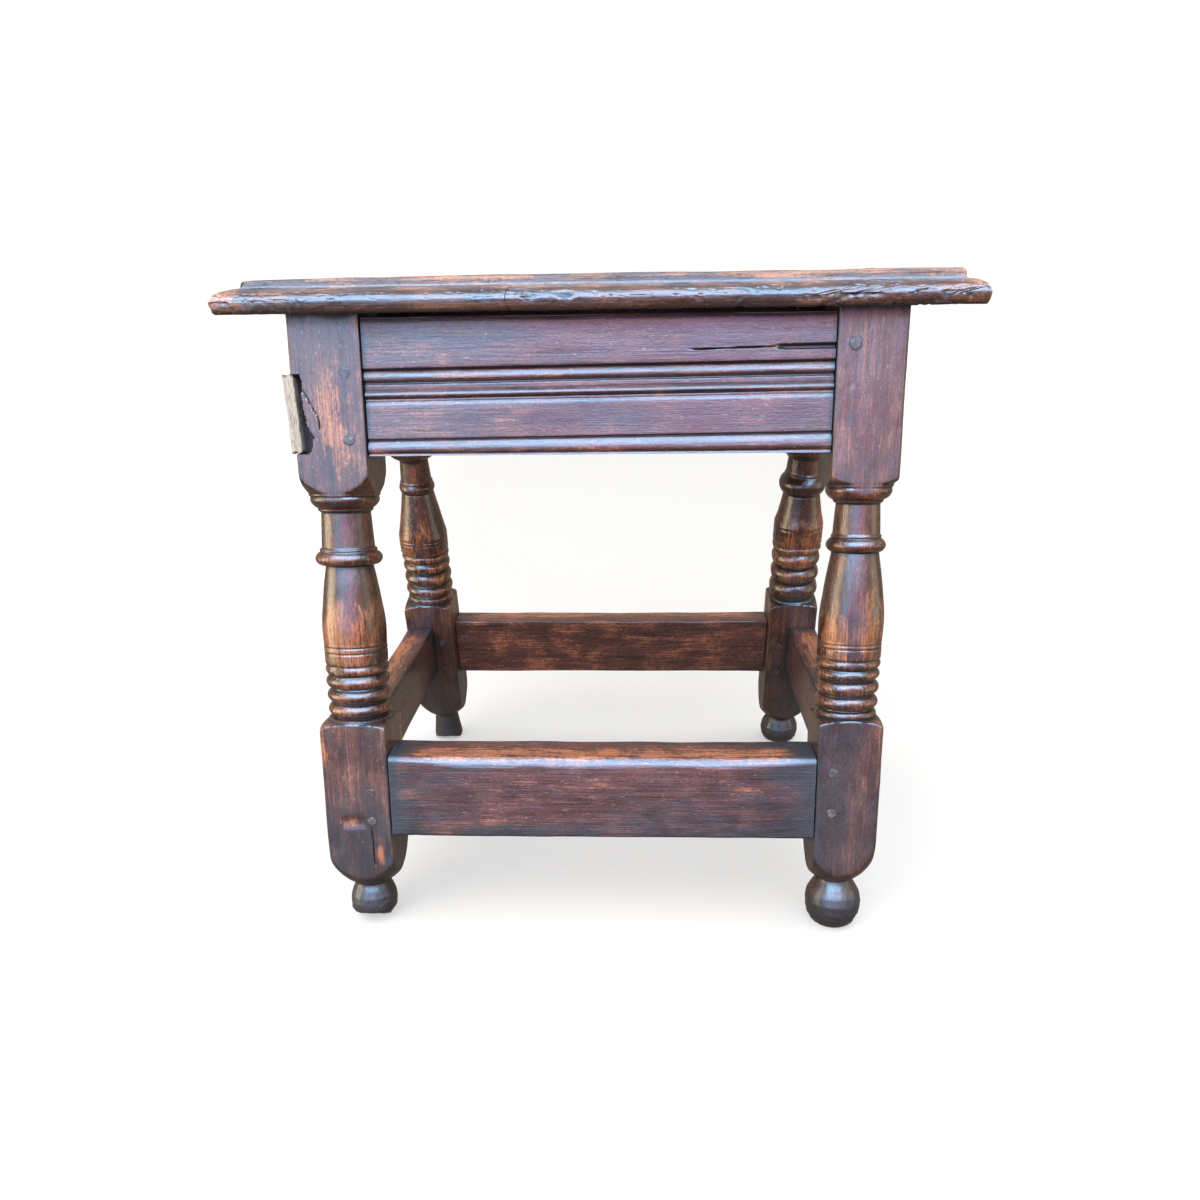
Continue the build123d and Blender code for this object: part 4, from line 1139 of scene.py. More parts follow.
# Places up the front face, closest together over the mouldings and the split.
FRIEZE_ROWS = spaced(
    (0, 12, 0.5), (12, 33, 1.5), (33, 55, 0.42), (55, 60, 1.2), (60, 66, 0.4), (66, 85.5, 1.6)
)
FRIEZE_FACE, FRIEZE_BACK = 2.0, 24.0  # its two faces, in from the legs' outer face
FRIEZE_TENON = (FRIEZE_LOW + 6, FRIEZE_HIGH - 14)


def frieze_face(where, seed, t, x):
    """The moulded face: depths, heights, how hollow it is and how deep its split goes."""
    leaning = 1 / UPRIGHT if where in ("front", "back") else 1.0
    h = FRIEZE_ROWS[None, :]
    depth = np.interp(h, even_heights, moulding) + 0 * x
    hollow = np.interp(h, even_heights, moulding_hollow) + 0 * x
    split = np.zeros(depth.shape)
    if where == "front":
        split = slot(h, x, HAIRLINE, width=0.55, depth=1.8)
        open_split = ease(x, 117, 123) * ease(h, 61.0, 61.8) * ease(-h, -64.6, -63.4)
        split = np.maximum(split, 4.0 * open_split)
    lift = FRIEZE_RISE[where] * t[:, None] * ease(h, 0, 8) * ease(-h, -84, -72)
    z = up_the_face(where, FRIEZE_LOW) + (h + lift) * leaning
    y = FRIEZE_FACE + depth + split
    spot = np.stack(np.broadcast_arrays(x, y, z), -1)
    y = y - 0.22 * waver(spot, (50, 9, 22), seed) + 0.05 * roughen(spot, (26, 4, 3), seed + 1)
    y = y + dents(x, y, z, seed, 40, ((-150, 150), (1, 4), (345, 435)), 0.35)
    return np.maximum(y, FRIEZE_FACE - 0.05), z, hollow, split


def frieze_plain_sides(where, seed, x):
    """The plain top, back and underside, as depths and heights."""
    foot = up_the_face(where, FRIEZE_LOW)
    top_y = np.linspace(2.4, 23.2, 12)[None, :] + 0 * x
    if where in ("front", "back"):
        top_z = (FRIEZE_HIGH + top_y * LEAN) / UPRIGHT
    else:
        top_z = FRIEZE_HIGH + 0 * top_y
    back_z = np.linspace(1, 0, 20)[None, :] * (top_z[:, -1:] - foot - 2) + foot + 1 + 0 * x
    back_spot = np.stack(np.broadcast_arrays(x, 9.0, back_z), -1)
    back_y = FRIEZE_BACK - 0.5 * np.abs(roughen(back_spot, (40, 9, 8), seed + 3))
    low_y = np.linspace(23.2, 4.4, 10)[None, :] + 0 * x
    low_spot = np.stack(np.broadcast_arrays(x, low_y, 0.0), -1)
    low_z = foot + 0.25 * waver(low_spot, (20, 8, 5), seed + 4)
    y = np.concatenate([top_y, back_y, low_y], axis=1)
    z = np.concatenate([top_z, back_z, np.maximum(low_z, foot)], axis=1)
    return y, z


def make_frieze(where, seed):
    """One frieze rail with its mouldings."""
    x_low, x_high = rail_span(where, np.array(UNDER_SEAT))
    length = float(x_high - x_low)
    t = stations(length, 1.6 if where == "front" else 2.4)
    x = float(x_low) + length * t[:, None]
    h = FRIEZE_ROWS[None, :]
    y, z, hollow, split = frieze_face(where, seed, t, x)
    front_count = y.shape[1]
    plain_y, plain_z = frieze_plain_sides(where, seed, x)
    y = np.concatenate([y, plain_y], axis=1)
    z = np.concatenate([z, plain_z], axis=1)
    tenon = [up_the_face(where, level) for level in FRIEZE_TENON]
    x, y, z = rail_grid(where, t, y, z, tenon)

    def on_front(values, elsewhere):
        """Values of the moulded face, with one value for the other three sides."""
        rest = np.full((len(t), y.shape[1] - front_count), elsewhere)
        return for_body(np.concatenate([values, rest], axis=1))

    spot = np.stack([x, y, z], -1)
    to_end = np.minimum(t, 1 - t)[:, None] * length + 0 * h
    grime_and_shade = 0.95 * ease(hollow, 0.55, 1.35)
    grime_and_shade = np.maximum(grime_and_shade, 0.8 * np.exp(-((to_end / 3.0) ** 2)))
    # Painted shadow along the top of the rail, under the seat's overhang.
    grime_and_shade = np.maximum(grime_and_shade, 0.75 * ease(h, 78, 86))
    grime_and_shade = np.maximum(grime_and_shade, ease(split, 0.4, 1.5))
    beads = 0.36 * bell(h, 3.0, 1.8) + 0.26 * bell(h, 37.6, 0.9) + 0.30 * bell(h, 48.0, 1.2)
    beads = beads + 0.04 + 0 * to_end
    # The plain top, back and underside are darker than the moulded face.
    grime_and_shade = np.maximum(on_front(grime_and_shade, 0.55), 0.16 + 0.28 * waver(spot, (60, 14, 14), seed + 6))
    rubbed_and_painted_light = on_front(beads, 0.0) + 0.12 * waver(spot, (50, 20, 12), seed + 7)
    grain = np.stack([x, z + 90 * seed, y], -1)
    looks = traits_of(grain, grime_and_shade, rubbed_and_painted_light, on_front(0.2 + 0.2 * ease(-to_end, -30, 0), 0.6))
    grid = FACES[where].place(x, y, z)
    name = "frieze_rail_" + where
    return make_piece(name + "_moulded", [(grid, looks)], name, rail_oak)


for number, where in enumerate(FACES):
    make_frieze(where, 51 + number)

# %% [markdown]
# ## Stretchers
# The stretchers are plain, but feet have rested on them for centuries. The upper outer arris is
# worn to a long uneven round, the top is dished, and there the dark skin is gone and the oak
# shows orange. The outline is a rectangle whose corners have their own roundings at every
# station along the rail.

# %% Stretchers
# Level of the lower edge, depth of the rail, thickness, and how worn the upper arris is.
STRETCHERS = {
    "front": (76.5, 60.0, 30.0, 6.0),
    "back": (82.5, 58.0, 30.0, 3.6),
    "left": (88.0, 50.0, 25.0, 3.6),
    "right": (88.0, 50.0, 25.0, 3.6),
}
STRETCHER_FACE = 0.5  # in from the legs' outer face
STRETCHER_SHOULDER = 6.0  # the wood left above and below the tenon
WELL_WORN = 5.0  # a stretcher worn more than this gets more knocks and a deeper dish


def corner(middle_y, middle_z, across, up, start, stop, count):
    """Points round one corner of a section, between two angles in degrees."""
    a = np.radians(np.linspace(start, stop, count))[None, :]
    return middle_y + across * np.cos(a), middle_z + up * np.sin(a)


def stretcher_sides(where):
    """The lower and upper edges of a stretcher up its face, and its near and far sides."""
    low_level, deep, thick, _ = STRETCHERS[where]
    low, high = up_the_face(where, low_level), up_the_face(where, low_level + deep)
    return low, high, STRETCHER_FACE, STRETCHER_FACE + thick


def stretcher_section(where, seed, t, x):
    """Outlines along a stretcher: a rectangle with worn corners and a dished top."""
    worn = STRETCHERS[where][3]
    low, high, near, far = stretcher_sides(where)
    along = np.stack(np.broadcast_arrays(x, 0.0, 0.0), -1)
    middle = ease(np.minimum(t, 1 - t)[:, None], 0.0, 0.22)
    across = worn * (0.75 + 0.45 * middle) + 0.9 * roughen(along, (34, 9, 9), seed)
    down = worn * (0.70 + 0.55 * middle) + 1.1 * roughen(along, (27, 9, 9), seed + 3)
    across, down = np.maximum(across, 1.2), np.maximum(down, 1.2)
    dish = (0.9 if worn > WELL_WORN else 0.5) * middle
    top = high - np.maximum(dish + 0.3 * waver(along, (40, 9, 9), seed + 5), 0)
    small = 1.6 + 0.5 * waver(along, (22, 9, 9), seed + 6)
    outer_top = corner(near + across, top - down, across, down, 180, 90, 18)
    inner_top = corner(far - small, top - small, small, small, 90, 0, 6)
    inner_low = corner(far - small, low + small, small, small, 0, -90, 6)
    outer_low = corner(near + small, low + small, small, small, -90, -180, 7)
    face_z = np.linspace(low + small, top - down, 46, axis=-1)[:, 0, 1:-1]
    top_y = np.linspace(near + across, far - small, 20, axis=-1)[:, 0, 1:-1]
    back_z = np.linspace(top - small, low + small, 18, axis=-1)[:, 0, 1:-1]
    low_y = np.linspace(far - small, near + small, 12, axis=-1)[:, 0, 1:-1]
    runs = [
        (near + 0 * face_z, face_z), outer_top, (top_y, top + 0 * top_y), inner_top,
        (far + 0 * back_z, back_z), inner_low, (low_y, low + 0 * low_y), outer_low,
    ]
    return (np.concatenate(one, axis=1) for one in zip(*runs))


def knock_about(where, seed, x, y, z, to_end):
    """Pushes a stretcher's outline in where it is uneven or knocked; the shoulders stay true."""
    _, deep, thick, worn = STRETCHERS[where]
    low, high, near, far = stretcher_sides(where)
    spot = np.stack(np.broadcast_arrays(x, y, z), -1)
    mid_y, mid_z = (near + far) / 2, (low + high) / 2
    inward_y = np.sign(mid_y - y) * ease(np.abs(y - mid_y), thick * 0.3, thick * 0.5)
    inward_z = np.sign(mid_z - z) * ease(np.abs(z - mid_z), deep * 0.4, deep * 0.5)
    bite = 0.18 + 0.18 * waver(spot, (44, 12, 16), seed + 7)
    bite = bite + 0.07 * roughen(spot, (20, 5, 4), seed + 8)
    knocks = ((-150, 150), (0, thick), (low, high))
    bite = np.maximum(bite, 0) + dents(x, y, z, seed, 110 if worn > WELL_WORN else 50, knocks, 0.5)
    bite = bite * ease(to_end, 0.0, 2.0)
    return y + bite * inward_y, z + bite * inward_z


def stretcher_looks(where, seed, x, y, z, to_end):
    """Dark ends, darker low down, painted shade on the inner side, bare wood where feet have been."""
    deep, worn = STRETCHERS[where][1], STRETCHERS[where][3]
    low, high, near, far = stretcher_sides(where)
    spot = np.stack([x, y, z], -1)
    on_face = ease(-y, -near - 5, -near)
    rise = LEAN / UPRIGHT if where in ("front", "back") else 0.0
    top_edge = high + (y - near) * rise
    up = (z - low - (y - near) * rise) / deep
    grime_and_shade = 0.9 * bell(to_end, 0, 5.0) + 0.25 * bell(to_end, 0, 26.0)
    # Darker towards the lower edge, and along the top of the inner side.
    grime_and_shade = grime_and_shade + 0.42 * ease(-up, -0.30, 0.0)
    grime_and_shade = grime_and_shade + 0.30 * ease(y, far - 8, far - 1) * ease(up, 0.8, 0.95)
    grime_and_shade = grime_and_shade + 0.28 + 0.36 * roughen(spot, (46, 14, 11), seed + 11)
    # The front stretcher is darker towards its right end.
    if where == "front":
        grime_and_shade = grime_and_shade + 0.30 * ease(x, 60, 150)
    # Painted light: the back stretcher lies in the seat's shade, so it is darkened far less.
    if where == "back":
        grime_and_shade = 0.25 * grime_and_shade
    # Painted shade on the inner side; little on the back stretcher, whose inner side faces the front.
    grime_and_shade = np.maximum(grime_and_shade, (0.1 if where == "back" else 0.45) * ease(y, far - 3, far))
    foot_worn = bell(z, top_edge - 1.0, 5.0) * bell(y, near + 9.0, 10.0) * ease(to_end, 4, 30)
    rubbed_and_painted_light = (0.85 if worn > WELL_WORN else 0.80) * foot_worn
    # Painted light on the back stretcher's inner side, which faces the front.
    if where == "back":
        rubbed_and_painted_light = rubbed_and_painted_light + 0.30 * ease(y, far - 3, far)
    patches = on_face * ease(roughen(spot, (40, 14, 9), seed + 12), 0.1, 0.9)
    rubbed_and_painted_light = rubbed_and_painted_light + 0.34 * patches * bell(up, 0.48, 0.42) * ease(to_end, 5, 40)
    grain = np.stack([x, z + 90 * seed, y], -1)
    dull = 0.22 + 0.25 * ease(-to_end, -20, 0)
    return traits_of(grain, grime_and_shade - 0.5 * foot_worn, rubbed_and_painted_light, dull)


def make_stretcher(where, seed):
    """One stretcher, worn by feet."""
    low_level, deep = STRETCHERS[where][:2]
    x_low, x_high = rail_span(where, np.array(up_the_face(where, low_level)))
    length = float(x_high - x_low)
    t = stations(length, 1.8)
    x = float(x_low) + length * t[:, None]
    to_end = np.minimum(t, 1 - t)[:, None] * length
    y, z = stretcher_section(where, seed, t, x)
    y, z = knock_about(where, seed, x, y, z, to_end)
    if where in ("front", "back"):
        z = z + (y - STRETCHER_FACE) * LEAN / UPRIGHT
    tenon = (low_level + STRETCHER_SHOULDER, low_level + deep - STRETCHER_SHOULDER)
    x, y, z = rail_grid(where, t, y, z, [up_the_face(where, level) for level in tenon])
    looks = stretcher_looks(where, seed, x, y, z, for_body(to_end) + 0 * y)
    grid = FACES[where].place(x, y, z)
    name = "stretcher_" + where
    return make_piece(name + "_worn", [(grid, looks)], name, rail_oak)


for number, where in enumerate(FACES):
    make_stretcher(where, 71 + 20 * number)

# %% [markdown]
# ## The seat board
# The seat is one oak board with a moulded edge: a rounded nosing, a small step and a raised
# middle. On all four sides the moulding has one pattern, mitred at the corners, so the height of
# the board at any place follows from the distance to its nearest edge. At the front left a strip
# of new nosing was let in long ago, and its seam bows towards the left.

# %% The board's section
HALF_LONG, HALF_WIDE = 243.0, 126.5
BOARD_THICK = 22.0
STEP_IN = 19.0  # from the edge to the step
STEP_FOOT = 15.5  # height of the nosing where it meets the step
NOSE_LEVEL = 7.0  # height of the outermost line of the nosing
NOSE_UNDER = 3.5  # how far the nosing rounds back under
TIER_FOOT = 17.0  # height where the raised middle starts to round over
TIER_WEAR = 4.6  # how wide that rounding is
LEFT_END, RIGHT_END = 1.42, 1.95  # how many times narrower the moulding is at the two ends
LEFT_LONG = 241.4  # the left end is worn, so it stops a little short of HALF_LONG
SEAM_X, SEAM_BOW = -51.5, 2.8


def from_end(x):
    """Distance in from the nearer end; the moulding is a little narrower there than in front."""
    return np.where(x > 0, (HALF_LONG - x) * RIGHT_END, (LEFT_LONG + x) * LEFT_END)


def top_height(inset):
    """Height of the board's upper side at a distance in from its edge."""
    across = np.clip(inset / STEP_IN, 0, 1)
    nose = NOSE_LEVEL + (STEP_FOOT - NOSE_LEVEL) * np.sqrt(1 - (1 - across) ** 2)
    foot = STEP_FOOT + (TIER_FOOT - STEP_FOOT) * np.clip(inset - STEP_IN, 0, 1)
    tier = np.clip((inset - STEP_IN - 1) / TIER_WEAR, 0, 1)
    raised = foot + (BOARD_THICK - TIER_FOOT) * (1 - (1 - tier) ** 2) ** 0.32
    return np.where(inset < STEP_IN, nose, raised)


def under_height(inset):
    """Height of the board's underside at a distance in from its edge."""
    across = np.clip(inset / NOSE_UNDER, 0, 1)
    return NOSE_LEVEL * (1 - np.sqrt(1 - (1 - across) ** 2))


def edge_insets(fine):
    """Distances in from an edge, closest together where the moulding turns."""
    a = np.linspace(0, np.pi / 2, fine)[:-1]
    b = np.linspace(0, np.pi / 2, max(fine // 4, 5))
    tier = STEP_IN + 1 + TIER_WEAR * (1 - np.cos(b))
    return np.concatenate([STEP_IN * (1 - np.cos(a)), [STEP_IN - 0.02, STEP_IN + 0.3], tier])


def under_insets(count):
    """Distances in from an edge on the underside, closest together at the edge."""
    return NOSE_UNDER * (1 - np.cos(np.linspace(0, np.pi / 2, count)))[1:]


# %% [markdown]
# ## Age on the edge of the seat
# The front edge shows the seat's whole life: small pits, a splintered knot beside the seam, a
# lost plug, fissures that slant across the right-hand end, and worm tracks that were laid open
# at the left. `edge_age` says how deep each of them is. Places on the edge are measured along
# the seat and up from its underside.

# %% Age on the edge
def edge_age(x, y, z, seed):
    """How far pits, splinters, fissures and worm tracks go into the front edge."""
    spot = np.stack([x, y, z], -1)
    front = ease(-y, HALF_WIDE - 20.0, HALF_WIDE - 14.0) * ease(-z, -16.4, -15.0)
    rise = z + 0.45 * (y + HALF_WIDE)
    pits = ease(roughen(spot, (5.0, 3.0, 2.6), seed, 2), 0.52, 0.95)
    depth = 0.7 * pits * (0.35 + 0.65 * ease(x, -140, 0))
    shifted = spot + 0.35 * rise[..., None] * np.array([2.2, 0, 0])
    cracks = np.abs(waver(shifted, (16.0, 7.0, 3.2), seed + 3))
    fissure = np.clip(1 - cracks / 0.09, 0, 1) * ease(waver(spot, (24, 20, 9), seed + 4), -0.15, 0.25)
    depth = depth + 1.1 * fissure * (0.32 + 0.68 * ease(x, 20, 150))
    slanted = np.abs(waver(np.stack([x - 3.4 * rise, y * 0, rise * 0], -1), (9.0, 9, 9), seed + 6))
    depth = depth + 1.0 * np.clip(1 - slanted / 0.12, 0, 1) * ease(x, 128, 150) * ease(-rise, -15, -9)
    knot = bell(x, -43.5, 8.0) * bell(rise, 11.5, 5.5)
    depth = depth + 1.5 * knot * ease(np.abs(roughen(spot, (7, 3, 2.4), seed + 7)), 0.1, 0.8)
    plug = ((x + 17.0) / 5.6) ** 2 + ((rise - 10.0) / 2.6) ** 2
    depth = depth + 1.5 * np.clip(1.25 - plug, 0, 1) + 0.5 * bell(np.sqrt(plug), 1.15, 0.15)
    worm = np.clip(1 - np.abs(waver(spot, (7.0, 5.0, 3.4), seed + 9)) / 0.16, 0, 1)
    eaten = ease(-x, 168, 196) * ease(-rise, -14, -9) + ease(-x, 226, 236)
    depth = depth + 0.8 * worm * np.clip(eaten, 0, 1)
    return front * depth


def board_bend(x, y, z):
    """Hollows and waves of the whole board; it only ever loses wood."""
    spot = np.stack([x, y, z * 0], -1)
    sag = 0.5 + 0.5 * waver(spot, (90, 60, 50), 301) + 0.25 * waver(spot, (32, 26, 20), 302)
    left_worn = 1.4 * ease(-x, 150, 235) * ease(z, 14, 22)
    return np.maximum(sag, 0) * ease(z, 15, 22) + left_worn


# %% [markdown]
# ## Making the board and the strip
# Both are rows of outlines across the seat. The rows near the seam bend with it, so the board
# and the strip meet in one clean curved line. Left of the seam the board's nosing is cut away to
# make the housing, and the strip fills it.

# %% Rows of the board
def bow(z):
    """How far the seam stands to the left of its ends at heights in the board."""
    t = np.clip((z - STEP_FOOT / 2) / (STEP_FOOT / 2), -1, 1)
    return SEAM_BOW * (1 - t * t)


def place_rows(stations_x, y, z):
    """Bends rows near the seam."""
    return stations_x[:, None] - bow(z) * bell(stations_x[:, None], SEAM_X, 14.0) * ease(-y, 60, 105)


def board_rows():
    """Stations along the whole board, twice at the seam."""
    left = edge_insets(30) / LEFT_END - LEFT_LONG
    right = HALF_LONG - edge_insets(30) / RIGHT_END
    middle = np.arange(left[-1] + 1.0, right[-1] - 0.5, 1.05)
    middle = middle[np.abs(middle - SEAM_X) > 0.8]
    seam = np.array([SEAM_X + 0.10, SEAM_X + 0.14, SEAM_X + 0.6])
    return np.sort(np.concatenate([left, middle, seam, right]))


def right_of_seam(x):
    """1 on the old nosing right of the seam, and 0 left of it."""
    return ease(x, SEAM_X - 3, SEAM_X + 3)


def edge_looks(x, y, z, age, seed):
    """Grime, rubbing, painted shade and painted light over the board's top and edges."""
    spot = np.stack([x, y, z], -1)
    inset = np.minimum(from_end(x), HALF_WIDE - np.abs(y))
    # Painted shade in the step of the moulding, darkest right of the seam.
    painted_groove_shade = bell(inset, STEP_IN - 0.4, 1.0) * ease(z, 12, 15) * (0.25 + 0.7 * right_of_seam(x))
    # The underside is darker.
    grime_and_shade = 0.95 * painted_groove_shade + 0.75 * ease(-z, -4.0, -0.5)
    grime_and_shade = np.maximum(grime_and_shade, 0.24 + 0.34 * roughen(spot, (34, 12, 8), seed))
    grime_and_shade = np.maximum(grime_and_shade, 0.9 * ease(age, 0.25, 1.0))
    tier_edge = ease(inset, STEP_IN + 0.8, STEP_IN + 1.2) * ease(-inset, -STEP_IN - 6.5, -STEP_IN - 3.5)
    slope = bell(inset, 12.5, 5.0) * ease(-z, -15.8, -15)
    low_bulge = 0.35 * bell(z, 3.5, 2.2)
    patchy = 0.55 + 0.6 * roughen(spot, (30, 10, 10), seed + 3)
    # Painted light: both ends are made paler, as a warm side light would, and the left end most, where
    # the cream light falls.
    ends = 0.35 * ease(np.abs(x), 205, 238) + 0.45 * ease(-x, 214, 236)
    rubbed_and_painted_light = (1.05 * tier_edge + 1.10 * slope + low_bulge) * patchy + ends
    rubbed_and_painted_light = rubbed_and_painted_light + 0.28 * ease(z, 20, 22) * (0.4 + roughen(spot, (90, 40, 30), seed + 5))
    rubbed_and_painted_light = rubbed_and_painted_light * (1 - 0.7 * ease(age, 0.3, 1.0))
    dull = 0.1 + 0.5 * ease(age, 0.2, 0.9) + 0.3 * ease(-z, -3, 0) + 2.4 * tier_edge + 2.2 * slope
    return traits_of(np.stack([x, y, z], -1), grime_and_shade, rubbed_and_painted_light, dull)


def finish_board(x, y, z, seed, clip_step):
    """Applies age to a board grid, and returns it with its looks."""
    age = edge_age(x, y, z, seed)
    raw = np.stack([x, y, UNDER_SEAT + z], -1)
    spot = np.stack([x, y, z], -1)
    uneven = 0.22 + 0.22 * waver(spot, (26, 12, 8), seed + 11)
    uneven = uneven + 0.05 * roughen(spot, (14, 3, 3), seed + 12)
    knocks = ((-243, 243), (-HALF_WIDE, 1 - HALF_WIDE + 10), (2, 20))
    uneven = np.maximum(uneven, 0) + dents(x, y, z, seed, 90, knocks, 0.4)
    uneven = uneven * ease(z + 30 * ease(-y, 100, 110), 2, 6)
    gutter = 0.9 * bell(HALF_WIDE + y, STEP_IN - 0.9, 0.9) * right_of_seam(x) * ease(z, 13, 15)
    depth = age + uneven + board_bend(x, y, z) * ease(z, 14, 18)
    grid = raw - depth[..., None] * outward(raw)
    grid[..., 2] -= gutter
    if clip_step:
        grid[..., 2] = np.minimum(grid[..., 2], UNDER_SEAT + STEP_FOOT)
    grid[..., 2] = np.clip(grid[..., 2], UNDER_SEAT, UNDER_SEAT + BOARD_THICK)
    return grid, edge_looks(x, y, z, age, seed)


# %% The seat board
def make_seat_board():
    """The board, with the housing for the strip cut out of its front edge."""
    wide = HALF_WIDE * 2
    front = edge_insets(46)
    behind = edge_insets(22)
    flat = np.linspace(STEP_IN + 1 + TIER_WEAR, wide - STEP_IN - 1 - TIER_WEAR, 34)[1:-1]
    over = np.concatenate([front, flat, wide - behind[::-1]]) - HALF_WIDE
    under_front = under_insets(8)
    under_flat = np.linspace(NOSE_UNDER, wide - NOSE_UNDER, 22)[1:-1]
    below = np.concatenate([under_front, under_flat, wide - under_front[::-1]])[::-1] - HALF_WIDE
    rows = board_rows()
    y = np.concatenate([over, below])[None, :] + 0 * rows[:, None]
    inset = np.minimum(HALF_WIDE - np.abs(y), from_end(rows)[:, None])
    is_top = (np.arange(y.shape[1]) < len(over))[None, :]
    z = np.where(is_top, top_height(inset), under_height(inset))
    x = place_rows(rows, y, z)
    grid, looks = finish_board(x, y, z, 401, False)
    housed = ((rows < SEAM_X + 0.12)[:, None]) & (z < STEP_FOOT + 0.01)
    wall = -HALF_WIDE + STEP_IN
    grid[..., 1] = np.where(housed, np.maximum(grid[..., 1], wall), grid[..., 1])
    return make_piece("seat_board_moulded", [(grid, looks)], "seat_board", seat_oak)


def make_edge_strip():
    """The strip of nosing let into the front left of the board."""
    front = edge_insets(46)
    front = np.append(front[front < STEP_IN - 0.3], STEP_IN - 0.12) - HALF_WIDE
    back = np.full(4, front[-1])
    under_flat = np.linspace(STEP_IN - 2, NOSE_UNDER, 6)
    below = np.concatenate([[STEP_IN - 0.12], under_flat, under_insets(8)[::-1][1:]]) - HALF_WIDE
    rows = board_rows()
    rows = np.append(rows[rows < SEAM_X - 0.7], [SEAM_X - 0.55, SEAM_X - 0.22])
    y = np.concatenate([front, back, below])[None, :] + 0 * rows[:, None]
    inset = np.minimum(HALF_WIDE - np.abs(y), from_end(rows)[:, None])
    column = np.arange(y.shape[1])[None, :]
    z = np.where(column < len(front), np.minimum(top_height(inset), STEP_FOOT), under_height(inset))
    t = (column - len(front) + 1) / (len(back) + 1)
    wall = np.minimum(top_height(inset), STEP_FOOT) * (1 - t) + under_height(inset) * t
    z = np.where((t > 0) & (t < 1), wall, z)
    x = place_rows(rows, y, z)
    grid, looks = finish_board(x, y, z, 431, True)
    return make_piece("seat_edge_strip", [(grid, looks)], "seat_edge_patch", seat_oak)


make_seat_board()
make_edge_strip()

# %% [markdown]
# ## Pegs
# The pegs were cleft and shaved, not turned, so they aren't quite round, and their ends are domed
# by wear. Each is a stack of small outlines along its own axis, and four of them make one piece.
# Those of the back stretcher go right through the leg, so their inner ends are made too. The seat
# has four more, driven down into the tops of the legs.

# %% Pegs
PEG_LENGTH = 20.0  # how far a peg is made into the wood
INNER_END = dict(proud=1.8, radius=3.4, length=10.0)
SEAT_PEG = dict(proud=0.18, radius=3.8, length=30.0)


def one_peg(centre, across, up, into, proud, radius, length, seed):
    """A peg's grid and looks; it starts at the face and runs into the wood."""
    turn = np.linspace(0, 2 * np.pi, 33)[:-1]
    lumpy = 1 + 0.035 * np.cos(4 * turn + seed) + 0.03 * np.cos(3 * turn + 2 * seed)
    share = np.array([0.02, 0.3, 0.55, 0.75, 0.88, 0.96, 1.0, 1.0, 1.0])
    dome = np.array([1.0, 0.97, 0.9, 0.78, 0.6, 0.35, 0.0, -0.8, -length])
    depth = np.where(dome > 0, -proud - 0.25 * (dome - 1), -dome - min(proud, 0) + 0.2)
    ring = radius * share[:, None] * lumpy[None, :]
    a, b = ring * np.cos(turn), ring * np.sin(turn)
    spot = np.stack(np.broadcast_arrays(a, b, depth[:, None]), -1)
    c = depth[:, None] + 0.12 * roughen(spot, 1.6, seed) * (dome[:, None] > 0)
    grid = centre + a[..., None] * across + b[..., None] * up + c[..., None] * into
    grime_and_shade = 0.40 + 0.5 * (share > 0.93)[:, None] + 0.35 * roughen(spot, 1.3, seed + 1)
    grime_and_shade = np.maximum(grime_and_shade, 0.75 if proud < 0 else 0)
    rubbed_and_painted_light = 0.35 * (share < 0.8)[:, None] + 0.3 * roughen(spot, 2.2, seed + 2)
    grain = np.stack(np.broadcast_arrays(c, a + 30 * seed, b), -1)
    return grid, traits_of(grain, grime_and_shade, rubbed_and_painted_light, 0.45)


def make_pegs(node):
    """The four pegs of one rail."""
    parts = []
    for number, (owner, height, proud, radius) in enumerate(PEGS[node]):
        where, along, up = peg_spot(node, owner, height)
        face = FACES[where]
        centre = on_the_face(where, along, up)
        seed = 7 * number + len(node)
        outer = one_peg(centre, face.along, face.up, face.inward, proud, radius, PEG_LENGTH, seed)
        parts.append(outer)
        if node == "pegs_stretcher_back":
            centre = on_the_face(where, along, up, inward=LEGS[owner]["block"])
            seed = 5 * number + 3
            inner = one_peg(centre, face.along, face.up, -face.inward, seed=seed, **INNER_END)
            parts.append(inner)
    return make_piece(node + "_shaved", parts, node, peg_oak)


for node in PEGS:
    make_pegs(node)

# %% Pegs in the seat
parts = []
for number, (leg_name, leg) in enumerate(LEGS.items()):
    axis_x, _ = leg_axis(leg_name)
    spot_x, spot_y, _ = on_the_face(leg["face"], axis_x, LEG_LENGTH, inward=leg["block"] / 2)
    sag = float(board_bend(np.array([spot_x]), np.array([spot_y]), np.array([BOARD_THICK]))[0])
    centre = np.array([spot_x, spot_y, UNDER_SEAT + BOARD_THICK - sag - 0.2])
    along, up, into = np.array([1.0, 0, 0]), np.array([0, 1.0, 0]), np.array([0, 0, -1.0])
    parts.append(one_peg(centre, along, up, into, seed=11 * number + 2, **SEAT_PEG))
make_piece("pegs_seat_shaved", parts, "pegs_seat", peg_oak)

# %% [markdown]
# ## The slip
# A slip of paler oak was let into the outer side of the front left leg to mend it, and it stands
# a little proud, tilted outward at the top. It was split off and never planed, so its ends are
# ragged and its face is dull.

# %% The slip
SLIP_THICK, SLIP_WIDE, SLIP_TALL = 7.4, 30.0, 51.0
SLIP_PROUD = 3.8  # how far it stands out of the leg's side
SLIP_TILT = math.radians(3.0)
SLIP_MIDDLE = UNDER_SEAT - 61.5  # level of its middle
# Its section, a side at a time: from one corner to the next, and how many points between.
SLIP_SIDES = (
    ((0, 0), (1, 0), 12),
    ((1, 0), (1, 1), 30),
    ((1, 1), (0, 1), 12),
    ((0, 1), (0, 0), 30),
)


